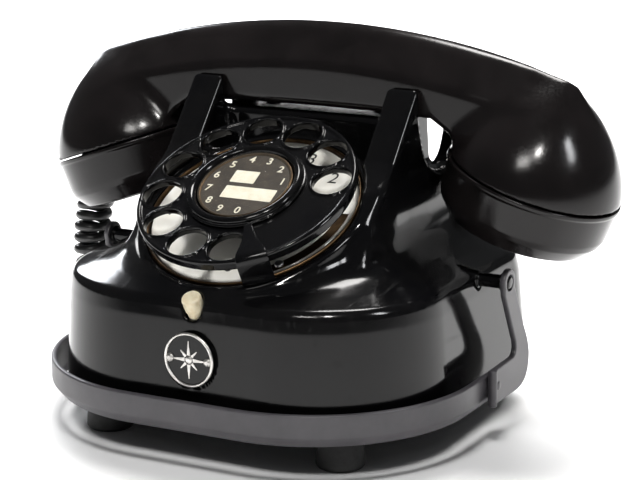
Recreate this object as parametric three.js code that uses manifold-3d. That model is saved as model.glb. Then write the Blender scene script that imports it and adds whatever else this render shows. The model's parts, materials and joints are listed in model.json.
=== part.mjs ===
// Rotary-dial table telephone with a forked handset cradle, a push button,
// a curly handset cord and a swing-up carrying handle.
// Millimetres, +Z up, front of the telephone towards -Y.
// Origin: centre of the footprint, on the table that the feet stand on.

import * as THREE from 'three';
import { mergeVertices } from 'three/addons/utils/BufferGeometryUtils.js';
import Module from 'manifold-3d';

const wasm = await Module();
wasm.setup();

// ---------------------------------------------------------------- driving dimensions

const GAP = 0.3;                      // clearance between touching pieces

// housing
const WALL = 2.6;
const PAN = { bottom: 9.6, top: 11.6 };
const SKIRT_FOOT = 15;
const KNEE_Z = 51;
const TOWER = { half: 43, front: -14, rear: 54, top: 80 };
const FORK = { inner: 31.5, outer: 43, rearInner: 37.6, rearOuter: 47.2 };
const BRIDGE = { half: 31.6, front: 18.6, rear: 48.6, top: 100.6 };
const SADDLE_Y = 33.5;                // centre line of the cradle

// dial
const DIAL = { y: -22.9, z: 82.3, tilt: THREE.MathUtils.degToRad(29) };
const WHEEL_RADIUS = 37;
const HOLE_CIRCLE = 29;
const HOLE_RADIUS = 6.5;
const FIRST_HOLE = THREE.MathUtils.degToRad(14.6);
const HOLE_PITCH = THREE.MathUtils.degToRad(30);
const COLLAR = { radius: 39.6, rim: -8.9, well: 36.8, floor: -13, throat: 34 };

// handset
const HANDSET = { y: 32.5, half: 92.4, cupX: 78, cupZ: 82.8, cupRadius: 29.6, capLean: 0.33 };
const SPINE = { top: 130, drop: 15.5 };
const CAP_DEPTH = 20;

// base, carrying handle, feet
const STRAP = { half: 75.5, front: -67, corner: 56, rear: 9, thick: 1.8, top: 22.6, bottom: 11.6 };
const PIVOT = { y: 13.1, z: 51, radius: 3 };
const ARM = { inner: 75.9, thick: 2 };
const FOOT = { x: 43.5, front: -41, rear: 46, radius: 8, height: 9.3 };
const BUTTON = { y: -58.4, z: 54.4, lean: THREE.MathUtils.degToRad(30), radius: 3.3 };
const BADGE = { z: 34.2, radius: 9 };
const BADGE_FACE = -59.0;             // the small flat on the skirt that the badge sits on
const BADGE_RIVET = { x: 6.9, radius: 0.8 };
const PLUNGER = { x: 21, radius: 3.2 };
const ENTRY = { radius: 6.2, cordX: -38, lineX: 36, z: 24 };
const WALL_REAR = 64.9;               // rear wall's outer face at the entries
const RINGER = { gongX: 29, gongY: 34, gongRadius: 22, z: 17 };

const CORD = { outer: 14.6, sides: 9 };

// ---------------------------------------------------------------- materials

const paint = (color, roughness, metalness = 0) =>
  new THREE.MeshStandardMaterial({ color, roughness, metalness });

const finishes = {
  enamel: () => paint(0x0b0b0c, 0.12),
  bakelite: () => paint(0x0e0c0c, 0.22),
  satin: () => paint(0x3c3b3d, 0.42, 0.2),
  ivory: () => paint(0xeadfc0, 0.35),
  white: () => paint(0xf2efe4, 0.2),
  card: () => paint(0x2a2119, 0.6),
  clear: () => paint(0xd8d8cc, 0.05),
  brass: () => paint(0x8f6b35, 0.35, 1),
  steel: () => paint(0x9a9a98, 0.35, 1),
  silver: () => paint(0xb8b8b4, 0.3, 1),
  rubber: () => paint(0x121212, 0.8),
  copper: () => paint(0x6d3a1f, 0.5, 0.6),
  cloth: () => paint(0x17140f, 0.8),
};

// ---------------------------------------------------------------- geometry helpers

// A closed three.js geometry as a manifold solid.
function solid(geometry) {
  const bare = geometry.clone();
  bare.deleteAttribute('normal');
  bare.deleteAttribute('uv');
  const merged = mergeVertices(bare, 1e-4);
  const mesh = new wasm.Mesh({
    numProp: 3,
    vertProperties: Float32Array.from(merged.attributes.position.array),
    triVerts: Uint32Array.from(merged.index.array),
  });
  return new wasm.Manifold(mesh);
}

// A manifold solid as a three.js geometry.
function geometryOf(manifold) {
  const mesh = manifold.getMesh();
  const geometry = new THREE.BufferGeometry();
  geometry.setAttribute('position', new THREE.BufferAttribute(Float32Array.from(mesh.vertProperties), 3));
  geometry.setIndex(new THREE.BufferAttribute(Uint32Array.from(mesh.triVerts), 1));
  geometry.computeVertexNormals();
  return geometry;
}

const joined = (...geometries) =>
  geometryOf(geometries.map(solid).reduce((whole, next) => whole.add(next)));

// first minus all the others
const cut = (first, ...tools) =>
  geometryOf(tools.map(solid).reduce((whole, tool) => whole.subtract(tool), solid(first)));

// Points of one closed rounded-rectangle level, counter-clockwise seen from above.
function level({ z, half, front, rear, cornerFront, cornerRear }, steps = 5) {
  const corners = [
    [half, front, cornerFront, -Math.PI / 2],
    [half, rear, cornerRear, 0],
    [-half, rear, cornerRear, Math.PI / 2],
    [-half, front, cornerFront, Math.PI],
  ];
  const points = [];
  for (const [x, y, radius, start] of corners) {
    const cx = x - Math.sign(x) * radius;
    const cy = y + (y === front ? radius : -radius);
    for (let i = 0; i <= steps; i += 1) {
      const angle = start + (i / steps) * (Math.PI / 2);
      points.push(new THREE.Vector3(cx + radius * Math.cos(angle), cy + radius * Math.sin(angle), z));
    }
  }
  return points;
}

// A closed solid through a stack of closed loops that all have the same point count.
function loft(loops) {
  const count = loops[0].length;
  const points = loops.flat();
  const index = [];
  for (let ring = 0; ring + 1 < loops.length; ring += 1) {
    for (let i = 0; i < count; i += 1) {
      const a = ring * count + i;
      const b = ring * count + ((i + 1) % count);
      index.push(a, b, b + count, a, b + count, a + count);
    }
  }
  for (const [ring, flip] of [[0, true], [loops.length - 1, false]]) {
    const centre = new THREE.Vector3();
    loops[ring].forEach((p) => centre.addScaledVector(p, 1 / count));
    const hub = points.push(centre) - 1;
    for (let i = 0; i < count; i += 1) {
      const a = ring * count + i;
      const b = ring * count + ((i + 1) % count);
      index.push(...(flip ? [hub, b, a] : [hub, a, b]));
    }
  }
  const geometry = new THREE.BufferGeometry().setFromPoints(points);
  geometry.setIndex(index);
  return geometry;
}

// A flat outline in the YZ plane, extruded along X from x0 to x1.
function sideExtrude(outline, x0, x1, curveSegments = 8) {
  const geometry = new THREE.ExtrudeGeometry(outline, {
    depth: x1 - x0,
    bevelEnabled: false,
    curveSegments,
  });
  // shape x -> Y, shape y -> Z, extrusion -> X
  geometry.applyMatrix4(new THREE.Matrix4().set(0, 0, 1, x0, 1, 0, 0, 0, 0, 1, 0, 0, 0, 0, 0, 1));
  return geometry;
}

function box(x0, x1, y0, y1, z0, z1) {
  const geometry = new THREE.BoxGeometry(x1 - x0, y1 - y0, z1 - z0);
  geometry.translate((x0 + x1) / 2, (y0 + y1) / 2, (z0 + z1) / 2);
  return geometry;
}

// Upright cylinder from z0 to z1.
function post(radius, z0, z1, segments = 24, radiusTop = radius) {
  const geometry = new THREE.CylinderGeometry(radiusTop, radius, z1 - z0, segments);
  geometry.rotateX(Math.PI / 2);
  geometry.translate(0, 0, (z0 + z1) / 2);
  return geometry;
}

// Cylinder lying along X from x0 to x1 through (y, z).
function rod(radius, x0, x1, y, z, segments = 20) {
  const geometry = new THREE.CylinderGeometry(radius, radius, x1 - x0, segments);
  geometry.rotateZ(Math.PI / 2);
  geometry.translate((x0 + x1) / 2, y, z);
  return geometry;
}

// Solid of revolution about +Z from [radius, z] pairs that start and end on the axis,
// or close on themselves. The profile may run either way round.
function turned(profile, segments = 32) {
  const points = profile.map(([r, z]) => new THREE.Vector2(r, z));
  if (THREE.ShapeUtils.area(points) < 0) points.reverse();
  const geometry = new THREE.LatheGeometry(points, segments);
  geometry.rotateX(Math.PI / 2);
  return geometry;
}

// Flat ring between two radii and two heights.
const ring = (inner, outer, z0, z1, segments = 36) =>
  turned([[inner, z0], [outer, z0], [outer, z1], [inner, z1], [inner, z0]], segments);

// Turns dial-plane geometry (+Z along the dial's axis) into the telephone's frame.
const dialMatrix = new THREE.Matrix4()
  .makeTranslation(0, DIAL.y, DIAL.z)
  .multiply(new THREE.Matrix4().makeRotationX(DIAL.tilt));
const inDialPlane = (geometry) => geometry.applyMatrix4(dialMatrix);

// The push button's own axis: +Z along the travel, origin at the cap's top.
const buttonMatrix = new THREE.Matrix4()
  .makeTranslation(0, BUTTON.y, BUTTON.z)
  .multiply(new THREE.Matrix4().makeRotationX(BUTTON.lean));
const onButtonAxis = (geometry) => geometry.applyMatrix4(buttonMatrix);

// A handset cup's own axis: +Z up the cup's axis, origin at the centre of the seam. side is +1 or -1.
const cupMatrix = (side) => new THREE.Matrix4()
  .makeTranslation(side * HANDSET.cupX, HANDSET.y, HANDSET.cupZ)
  .multiply(new THREE.Matrix4().makeRotationY(side * HANDSET.capLean));
const onCup = (side, geometry) => geometry.applyMatrix4(cupMatrix(side));

// ---------------------------------------------------------------- assembly

const telephone = new THREE.Group();

function add(name, finish, geometry) {
  const mesh = new THREE.Mesh(geometry, finishes[finish]());
  mesh.name = name;
  telephone.add(mesh);
  return mesh;
}

// ---------------------------------------------------------------- housing

// Levels of the outer skin: upright skirt, crisp knee, nearly flat shoulder, steep tower.
const skin = [
  { z: SKIRT_FOOT, half: 68.2, front: -59.4, rear: 64.8, cornerFront: 46, cornerRear: 20 },
  { z: 17, half: 69, front: -60.2, rear: 65.6, cornerFront: 46, cornerRear: 21 },
  { z: 46, half: 67.2, front: -58.4, rear: 63.6, cornerFront: 44, cornerRear: 21 },
  { z: KNEE_Z, half: 66.4, front: -57.6, rear: 62.8, cornerFront: 43, cornerRear: 21 },
  { z: 53, half: 65, front: -56.2, rear: 61.6, cornerFront: 42, cornerRear: 20 },
  { z: 55.4, half: 57, front: -48, rear: 58.6, cornerFront: 34, cornerRear: 17 },
  { z: 58.4, half: 51, front: -40, rear: 56.6, cornerFront: 28, cornerRear: 15 },
  { z: 63, half: 47, front: -30, rear: 55.2, cornerFront: 22, cornerRear: 13 },
  { z: 70, half: 44.4, front: -20, rear: 54.4, cornerFront: 16, cornerRear: 12 },
  { z: TOWER.top, half: TOWER.half, front: TOWER.front, rear: TOWER.rear, cornerFront: 12, cornerRear: 11 },
];

const inset = (l, by) => ({
  ...l,
  half: l.half - by,
  front: l.front + by,
  rear: l.rear - by,
  cornerFront: l.cornerFront - by,
  cornerRear: l.cornerRear - by,
});

// Side view of one front fork blade, with the hollow of the saddle behind it.
function frontFork() {
  const side = new THREE.Shape();
  side.moveTo(-13, 66);
  side.lineTo(-12.6, 80);
  side.lineTo(-1.6, 90);
  side.lineTo(15.4, 110.4);
  side.quadraticCurveTo(16.8, 112, 17.6, 110);
  side.quadraticCurveTo(17.4, 101, 19.6, 95.4);
  side.quadraticCurveTo(23.4, 83, SADDLE_Y, 81);
  side.lineTo(SADDLE_Y + 6, 81.6);
  side.lineTo(SADDLE_Y + 6, 66);
  side.closePath();
  return side;
}

// Side view of one rear fork blade.
function rearFork() {
  const side = new THREE.Shape();
  side.moveTo(38, 60);
  side.lineTo(38, 81.4);
  side.quadraticCurveTo(45, 86, 47.4, 95.4);
  side.quadraticCurveTo(49, 101, 49.4, 106);
  side.quadraticCurveTo(50.6, 108, 51.8, 106);
  side.quadraticCurveTo(53, 90, 55.6, 74);
  side.lineTo(56, 60);
  side.closePath();
  return side;
}

// Side view of the bridge between the forks, which carries the two cradle plungers.
function bridgeSide() {
  const side = new THREE.Shape();
  side.moveTo(BRIDGE.front, 78);
  side.lineTo(BRIDGE.front, BRIDGE.top - 2);
  side.quadraticCurveTo(BRIDGE.front + 0.3, BRIDGE.top, BRIDGE.front + 2.6, BRIDGE.top);
  side.lineTo(BRIDGE.rear - 3, BRIDGE.top);
  side.quadraticCurveTo(BRIDGE.rear, BRIDGE.top, BRIDGE.rear, BRIDGE.top - 4);
  side.lineTo(BRIDGE.rear + 2, 78);
  side.closePath();
  return side;
}

function housing() {
  const blade = (shape, inner, outer) => [
    solid(sideExtrude(shape, inner, outer)),
    solid(sideExtrude(shape, -outer, -inner)),
  ];
  let shell = solid(loft(skin.map((l) => level(l))));
  shell = shell.add(solid(inDialPlane(post(COLLAR.radius, -40, COLLAR.rim, 44))));
  for (const part of [...blade(frontFork(), FORK.inner, FORK.outer),
    ...blade(rearFork(), FORK.rearInner, FORK.rearOuter)]) shell = shell.add(part);
  shell = shell.add(solid(sideExtrude(bridgeSide(), -BRIDGE.half, BRIDGE.half)));

  // hollow inside, kept clear of the dial well's floor and wall
  const dialBlock = solid(inDialPlane(post(COLLAR.radius + 3, COLLAR.floor - WALL, 40, 32)));
  const cavityLevels = [{ ...skin[0], z: SKIRT_FOOT - 1 }, ...skin.slice(1, 4),
    { ...skin[5], z: skin[5].z - WALL - 1 }, { ...skin[7], z: skin[7].z - 2 }, skin[8],
    { ...skin[9], z: TOWER.top - WALL - 1.4 }];
  let cavity = solid(loft(cavityLevels.map((l) => level(inset(l, WALL)))));
  cavity = cavity.subtract(dialBlock);
  cavity = cavity.add(solid(box(-BRIDGE.half + 3, BRIDGE.half - 3, 23, 45.6, 60, BRIDGE.top - 3)));
  shell = shell.subtract(cavity);

  // dial well and the throat that the mechanism hangs through
  shell = shell.subtract(solid(inDialPlane(post(COLLAR.well, COLLAR.floor, 30, 44))));
  shell = shell.subtract(solid(inDialPlane(post(COLLAR.throat, COLLAR.floor - 20, 0, 32))));

  // holes for the button, the plungers, the handle pivots and the two cord entries
  shell = shell.subtract(solid(onButtonAxis(post(BUTTON.radius + 0.35, -11.5, 8, 16))));
  for (const side of [-1, 1]) {
    const plunger = post(PLUNGER.radius + 0.3, 90, 110, 16);
    plunger.translate(side * PLUNGER.x, SADDLE_Y, 0);
    shell = shell.subtract(solid(plunger));
    shell = shell.subtract(solid(rod(PIVOT.radius + 0.3, side * 72 - 17, side * 72 + 17, PIVOT.y, PIVOT.z)));
  }
  for (const x of [ENTRY.cordX, ENTRY.lineX]) {
    const entry = post(ENTRY.radius, -20, 20, 20);
    entry.rotateX(Math.PI / 2);
    entry.translate(x, 64, ENTRY.z);
    shell = shell.subtract(solid(entry));
  }
  // flats that the badge and its rivets sit on
  shell = shell.subtract(solid(box(-11, 11, -70, BADGE_FACE, BADGE.z - 11, BADGE.z + 11)));
  for (const side of [-1, 1]) {
    shell = shell.subtract(solid(pin(BADGE_RIVET.radius + 0.3, side * BADGE_RIVET.x, -70, -50)));
  }
  return geometryOf(shell);
}

// Small cylinder along Y at badge height.
function pin(radius, x, y0, y1) {
  const geometry = new THREE.CylinderGeometry(radius, radius, y1 - y0, 12);
  geometry.translate(x, (y0 + y1) / 2, BADGE.z);
  return geometry;
}

add('housing', 'enamel', housing());

// ---------------------------------------------------------------- base

// Shallow tray that closes the bottom, with its edge turned up under the skirt.
function basePan() {
  const foot = inset({ ...skin[1], z: PAN.bottom }, 4);
  const outer = [foot, inset({ ...skin[1], z: PAN.bottom + 1.6 }, 2.4),
    inset({ ...skin[1], z: SKIRT_FOOT - GAP }, 2.2)];
  const inner = [inset({ ...skin[1], z: PAN.top }, 4.6), inset({ ...skin[1], z: SKIRT_FOOT + 1 }, 4.2)];
  let pan = solid(loft(outer.map((l) => level(l))));
  pan = pan.subtract(solid(loft(inner.map((l) => level(l)))));
  for (const [x, y] of footPlaces) {
    const hole = post(2.3, 0, 20, 12);
    hole.translate(x, y, 0);
    pan = pan.subtract(solid(hole));
  }
  return geometryOf(pan);
}

const footPlaces = [
  [-FOOT.x, FOOT.front], [FOOT.x, FOOT.front], [-FOOT.x, FOOT.rear], [FOOT.x, FOOT.rear],
];
const footNames = ['front_left', 'front_right', 'rear_left', 'rear_right'];

add('base_pan', 'enamel', basePan());

footPlaces.forEach(([x, y], i) => {
  const foot = turned([[0, 2], [3.4, 2], [3.4, 0], [FOOT.radius - 0.8, 0], [FOOT.radius, 1],
    [FOOT.radius - 0.7, FOOT.height], [2.3, FOOT.height], [2.3, 5], [0, 5]], 16);
  add(`foot_${footNames[i]}`, 'rubber', foot).position.set(x, y, 0);
  const screw = turned([[0, 5.3], [1.8, 5.3], [1.8, PAN.top + GAP], [3.6, PAN.top + GAP],
    [3.6, PAN.top + 2], [0, PAN.top + 2.4]], 10);
  add(`foot_screw_${footNames[i]}`, 'steel', screw).position.set(x, y, 0);
});

// ---------------------------------------------------------------- carrying handle

const HANDLE_RIVET = { y: 4.6, z: 18.4 };

// Points and outward normals of the strap's U-shaped outer line, right side first.
function strapLine() {
  const { half, front, corner, rear } = STRAP;
  const line = [{ x: half, y: rear, nx: 1, ny: 0 }];
  const steps = 9;
  for (const side of [1, -1]) {
    for (let i = 0; i <= steps; i += 1) {
      const turn = (side > 0 ? i : steps - i) / steps;
      const angle = turn * (Math.PI / 2);
      const nx = side * Math.cos(angle);
      const ny = -Math.sin(angle);
      line.push({ x: side * (half - corner) + corner * nx, y: front + corner + corner * ny, nx, ny });
    }
  }
  line.push({ x: -half, y: rear, nx: -1, ny: 0 });
  return line;
}

// Sweeps a convex [inset, z] section along the strap's line.
function strap(section) {
  const loops = strapLine().map(({ x, y, nx, ny }) =>
    section.map(([depth, z]) => new THREE.Vector3(x - nx * depth, y - ny * depth, z)));
  return loft(loops);
}

const strapSection = [
  [0, STRAP.bottom + 3.2], [0.2, STRAP.top - 0.3], [0.6, STRAP.top], [STRAP.thick, STRAP.top],
  [STRAP.thick + 0.4, STRAP.bottom + 2.4], [3.4, STRAP.bottom + 0.7], [2.6, STRAP.bottom],
];
const rivetHoles = [-1, 1].map((side) => rod(1.3, side * 74 - 6, side * 74 + 6, HANDLE_RIVET.y, HANDLE_RIVET.z, 10));
add('handle_strap', 'satin', cut(strap(strapSection), ...rivetHoles));

// J-shaped side plate: pivot eye at the top, heel behind, toe lapped over the strap's end.
function armOutline() {
  const arm = new THREE.Shape();
  arm.moveTo(0, 12.4);
  arm.lineTo(21, 12.4);
  arm.quadraticCurveTo(30.6, 13, 30.6, 22.6);
  arm.quadraticCurveTo(30.2, 27, 26, 33);
  arm.lineTo(17.4, 49);
  arm.absarc(PIVOT.y, PIVOT.z, 4.6, -0.25, Math.PI - 0.25, false);
  arm.lineTo(9.4, 47);
  arm.lineTo(18.6, 29.6);
  arm.quadraticCurveTo(20, 25.4, 16.4, 24.8);
  arm.lineTo(0, 24.4);
  arm.closePath();
  const eye = new THREE.Path();
  eye.absarc(PIVOT.y, PIVOT.z, PIVOT.radius - 0.4, 0, Math.PI * 2, true);
  arm.holes.push(eye);
  return arm;
}

function arm(side) {
  const near = ARM.inner;
  const far = ARM.inner + ARM.thick;
  const [x0, x1] = side > 0 ? [near, far] : [-far, -near];
  const plate = sideExtrude(armOutline(), x0, x1, 6);
  const roll = post(1.7, 12.2, 24.8, 10);
  roll.translate(side * (far + 0.1), 0.6, 0);
  const rivetHole = rod(1.3, side * 80 - 8, side * 80 + 8, HANDLE_RIVET.y, HANDLE_RIVET.z, 10);
  return geometryOf(solid(plate).add(solid(roll)).subtract(solid(rivetHole)));
}

// Spacer and shoulder screw that the arm turns on; it passes through the housing's wall.
function pivotScrew(side) {
  const profile = [[0, 58], [PIVOT.radius, 58], [PIVOT.radius, 67.8],
    [4.6, 67.8], [4.6, 75.6], [2.2, 75.6], [2.2, 78.2], [4.3, 78.2], [4.0, 79.4], [0, 79.8]];
  const geometry = turned(profile, 16);
  geometry.rotateY((side * Math.PI) / 2);
  geometry.translate(0, PIVOT.y, PIVOT.z);
  return geometry;
}

for (const [side, name] of [[-1, 'left'], [1, 'right']]) {
  add(`handle_arm_${name}`, 'satin', arm(side));
  add(`handle_pivot_${name}`, 'steel', pivotScrew(side));
  const rivet = turned([[0, -5.4], [1, -5.4], [1, 0.3], [2.2, 0.3], [1.8, 1.1], [0, 1.5]], 12);
  rivet.rotateY((side * Math.PI) / 2);
  add(`handle_rivet_${name}`, 'steel', rivet)
    .position.set(side * (ARM.inner + ARM.thick), HANDLE_RIVET.y, HANDLE_RIVET.z);
}

// ---------------------------------------------------------------- badge and push button

{
  const disc = new THREE.CylinderGeometry(BADGE.radius, BADGE.radius, 1.3, 28);
  disc.translate(0, BADGE_FACE - GAP - 0.65, BADGE.z);
  const holes = [-1, 1].map((side) => pin(BADGE_RIVET.radius + 0.3, side * BADGE_RIVET.x, -70, -50));
  add('badge', 'silver', cut(disc, ...holes));
  for (const [side, name] of [[-1, 'left'], [1, 'right']]) {
    const rivet = turned([[0, -5], [BADGE_RIVET.radius, -5], [BADGE_RIVET.radius, 1.9],
      [1.7, 1.9], [1.4, 2.5], [0, 2.8]], 12);
    rivet.rotateX(Math.PI / 2);
    add(`badge_rivet_${name}`, 'silver', rivet).position.set(side * BADGE_RIVET.x, BADGE_FACE, BADGE.z);
  }
}

{
  const cap = turned([[0, -15.8], [3.8, -15.8], [3.8, -14.6], [2.5, -14.6], [2.5, -4.5],
    [BUTTON.radius, -3.4], [BUTTON.radius, -0.8], [BUTTON.radius - 0.8, 0], [0, 0.3]], 16);
  add('push_button', 'ivory', onButtonAxis(cap));
  const spring = turned([[0, -24], [3.6, -24], [3.6, -22.8], [1.6, -19.2], [0, -19.2]], 12);
  add('button_contact', 'brass', onButtonAxis(spring));
}

// ---------------------------------------------------------------- dial

// White enamelled number plate: flat middle, edge turned down.
add('number_plate', 'white', inDialPlane(turned([
  [5, -10.4], [33.6, -10.4], [34, -12.6], [35.2, -12.6], [34.8, -9.5], [34.2, -9], [5, -9], [5, -10.4],
], 36)));
add('dial_rim', 'brass', inDialPlane(ring(35.5, COLLAR.well - GAP, COLLAR.floor + GAP, -8.6, 40)));

// Case that hangs under the plate through the throat, open at the bottom.
add('dial_case', 'steel', inDialPlane(turned([
  [5, -13.9], [31.5, -13.9], [31.5, -26], [33.4, -26], [33.4, -11], [5, -11], [5, -13.9],
], 28)));

// Finger wheel: rimmed disc with ten finger holes and an opening for the hub.
function fingerWheel() {
  const disc = turned([[17.6, -2.6], [35.8, -2.6], [WHEEL_RADIUS, -1.6], [WHEEL_RADIUS, 0.3],
    [36.2, 0.6], [35.2, 0], [17.6, 0], [17.6, -2.6]], 44);
  const holes = [];
  for (let i = 0; i < 10; i += 1) {
    const angle = FIRST_HOLE + i * HOLE_PITCH;
    const [x, y] = [HOLE_CIRCLE * Math.cos(angle), HOLE_CIRCLE * Math.sin(angle)];
    const hole = post(HOLE_RADIUS, -6, 6, 16);
    hole.translate(x, y, 0);
    holes.push(hole);
  }
  return cut(disc, ...holes);
}
add('finger_wheel', 'enamel', inDialPlane(fingerWheel()));

// Hub: domed ring round the number card, on the shaft.
add('dial_hub', 'enamel', inDialPlane(turned([
  [0, -3], [17.3, -3], [17.3, 0.3], [20.2, 0.3], [19.9, 2], [18.3, 3], [16.6, 2.4], [16.2, 0.4], [0, 0.4], [0, -3],
], 28)));
add('number_card', 'card', inDialPlane(post(15.8, 0.7, 1.2, 28)));
add('card_window', 'clear', inDialPlane(post(15.8, 1.5, 2.1, 28)));
add('dial_shaft', 'steel', inDialPlane(turned([[0, -30], [3.2, -30], [3.2, -9], [4.4, -9],
  [4.4, -3.3], [0, -3.3]], 14)));
add('main_gear', 'brass', inDialPlane(ring(3.5, 17, -18, -16, 28)));
add('mainspring_drum', 'steel', inDialPlane(ring(3.5, 13, -27, -20, 24)));

// Governor: worm spindle with two fly weights in a drum, beside the main gear.
const GOVERNOR = { x: 22.1, y: 0, radius: 4.8 };
const governor = turned([[0, -25.6], [1.2, -25.6], [1.2, -24], [GOVERNOR.radius - 0.4, -24],
  [GOVERNOR.radius - 0.4, -19.6], [1.4, -19.6], [1.4, -18.2], [GOVERNOR.radius, -18.2],
  [GOVERNOR.radius, -15.8], [1.2, -15.8], [1.2, -14.4], [0, -14.4]], 14);
governor.translate(GOVERNOR.x, GOVERNOR.y, 0);
add('governor', 'brass', inDialPlane(governor));

// Pulse contacts: a pile of three flat springs on an insulating block.
function contactPile(leafLength, leaves) {
  const parts = [box(-3, 3, -2.4, 2.4 + leaves, 0, 6)];
  for (let i = 0; i < leaves; i += 1) {
    parts.push(box(-1.4, 1.4, i * 2 - 1.6, i * 2 - 1, 5, 5 + leafLength));
  }
  return joined(...parts);
}
const pulseContacts = contactPile(8, 3);
pulseContacts.rotateX(Math.PI / 2);
pulseContacts.translate(-22, -5, -21.6);
add('pulse_contacts', 'brass', inDialPlane(pulseContacts));

// Finger stop: bent plate from the rim, up over the wheel's edge and in towards the hub.
function fingerStop() {
  const plan = new THREE.Shape();
  plan.moveTo(-5.4, 0);
  plan.lineTo(5.4, 0);
  plan.lineTo(5.2, 6.6);
  plan.quadraticCurveTo(2, 10, 1.5, 16.8);
  plan.lineTo(-1.5, 16.8);
  plan.quadraticCurveTo(-2, 10, -5.2, 6.6);
  plan.closePath();
  const blade = new THREE.ExtrudeGeometry(plan, { depth: 1.1, bevelEnabled: false, curveSegments: 5 });
  blade.translate(0, 0, 1.2);
  const drop = box(-5.4, 5.4, -0.6, 0.6, -8, 2.2);
  const foot = box(-5.4, 5.4, -0.9, 0.9, -8.6, -7.6);
  return joined(blade, drop, foot);
}
const stopAngle = FIRST_HOLE + 9.5 * HOLE_PITCH;
const stop = fingerStop();
stop.translate(0, -38.1, 0);
stop.rotateZ(stopAngle + Math.PI / 2);
add('finger_stop', 'enamel', inDialPlane(stop));
const stopScrew = turned([[0, -8.7], [1.6, -8.7], [1.4, -7.9], [0, -7.6]], 12);
stopScrew.translate(32.4, 0, 0);
stopScrew.rotateZ(stopAngle + 0.21);
add('finger_stop_screw', 'steel', inDialPlane(stopScrew));

// ---------------------------------------------------------------- cradle switch

for (const [side, name] of [[-1, 'left'], [1, 'right']]) {
  const plunger = turned([[0, 86], [2, 86], [2, 92], [4.2, 92], [4.2, 93.2], [PLUNGER.radius, 93.2],
    [PLUNGER.radius, 101], [2.4, 101.7], [0, 102]], 14);
  add(`cradle_plunger_${name}`, 'bakelite', plunger).position.set(side * PLUNGER.x, SADDLE_Y, 0);
}
{
  const bar = box(-25, 25, SADDLE_Y - 3, SADDLE_Y + 3, 83.6, 85.7);
  const stem = box(-2.4, 2.4, SADDLE_Y - 1.2, SADDLE_Y + 1.2, 64.5, 84);
  add('cradle_crossbar', 'steel', joined(bar, stem));
  const lever = joined(box(-4, 4, 22, 46, 62.6, 64.2), rod(2, -6, 6, 46, 63.4, 12));
  add('switch_lever', 'steel', lever);
  const bracket = joined(box(-9, 9, 44, 50.6, 57.6, 59.2), box(-9, -7, 44, 48, 57.6, 66),
    box(7, 9, 44, 48, 57.6, 66));
  add('switch_bracket', 'steel', bracket);
  const springs = contactPile(10, 4);
  springs.translate(0, 27, 44);
  add('switch_springs', 'brass', springs);
}

// ---------------------------------------------------------------- ringer and circuit

for (const [side, name] of [[-1, 'left'], [1, 'right']]) {
  const { gongRadius, z } = RINGER;
  const gong = turned([[2.6, 9], [5, 9], [14, 7.6], [gongRadius - 2, 3.4], [gongRadius, -2],
    [gongRadius - 1.2, -2], [gongRadius - 3, 2.6], [13.6, 6.4], [2.6, 7.8], [2.6, 9]], 24);
  add(`gong_${name}`, 'steel', gong).position.set(side * RINGER.gongX, RINGER.gongY, z + 4);
  const pillar = turned([[0, PAN.top + GAP], [4, PAN.top + GAP], [4, z + 11], [2.2, z + 11],
    [2.2, z + 14], [4.4, z + 14], [4.4, z + 15.4], [0, z + 16]], 12);
  add(`gong_pillar_${name}`, 'steel', pillar).position.set(side * RINGER.gongX, RINGER.gongY, 0);
}
{
  const coil = (x) => {
    const bobbin = post(7, 0, 22, 18);
    bobbin.rotateX(Math.PI / 2);
    bobbin.translate(x, 14, 24);
    return bobbin;
  };
  add('ringer_coils', 'copper', joined(coil(-8.5), coil(8.5), box(-15, 15, 14, 17, 15, 33),
    box(-15, 15, -11, -8, 15, 33)));
  const clapper = joined(box(-1, 1, 19, 36, 21, 23), (() => {
    const ball = new THREE.SphereGeometry(3.6, 12, 8);
    ball.translate(0, 37, 22);
    return ball;
  })(), box(-9, 9, 18.6, 20.4, 19.5, 25.5));
  add('clapper', 'brass', clapper);
  add('condenser', 'steel', box(-58, -36, -34, -4, PAN.top + GAP, 40));
  add('induction_coil', 'copper', joined(box(34, 57, -36, -2, PAN.top + GAP, 14.5),
    box(37, 55, -33, -30, 14, 32), box(37, 55, -8, -5, 14, 32), (() => {
      const core = post(7.6, 0, 24, 16);
      core.rotateX(Math.PI / 2);
      core.translate(46, -7, 23);
      return core;
    })()));
  const block = [box(-17, 17, -44, -28, PAN.top + GAP, 18)];
  for (let i = 0; i < 5; i += 1) {
    const screw = post(1.8, 17, 20.4, 10);
    screw.translate(-12 + i * 6, -36, 0);
    block.push(screw);
  }
  add('terminal_block', 'bakelite', joined(...block));
}

// ---------------------------------------------------------------- cords

// Grommet in the mouthpiece cup, pointing the way that the cord leaves it.
const grommetFrom = new THREE.Vector3(-92, 51.5, 82.5);
const grommetTo = new THREE.Vector3(-0.72, 0.62, -0.31).normalize();
const GROMMET_LENGTH = 15;
const alongGrommet = (distance) => grommetFrom.clone().addScaledVector(grommetTo, distance).toArray();

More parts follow.
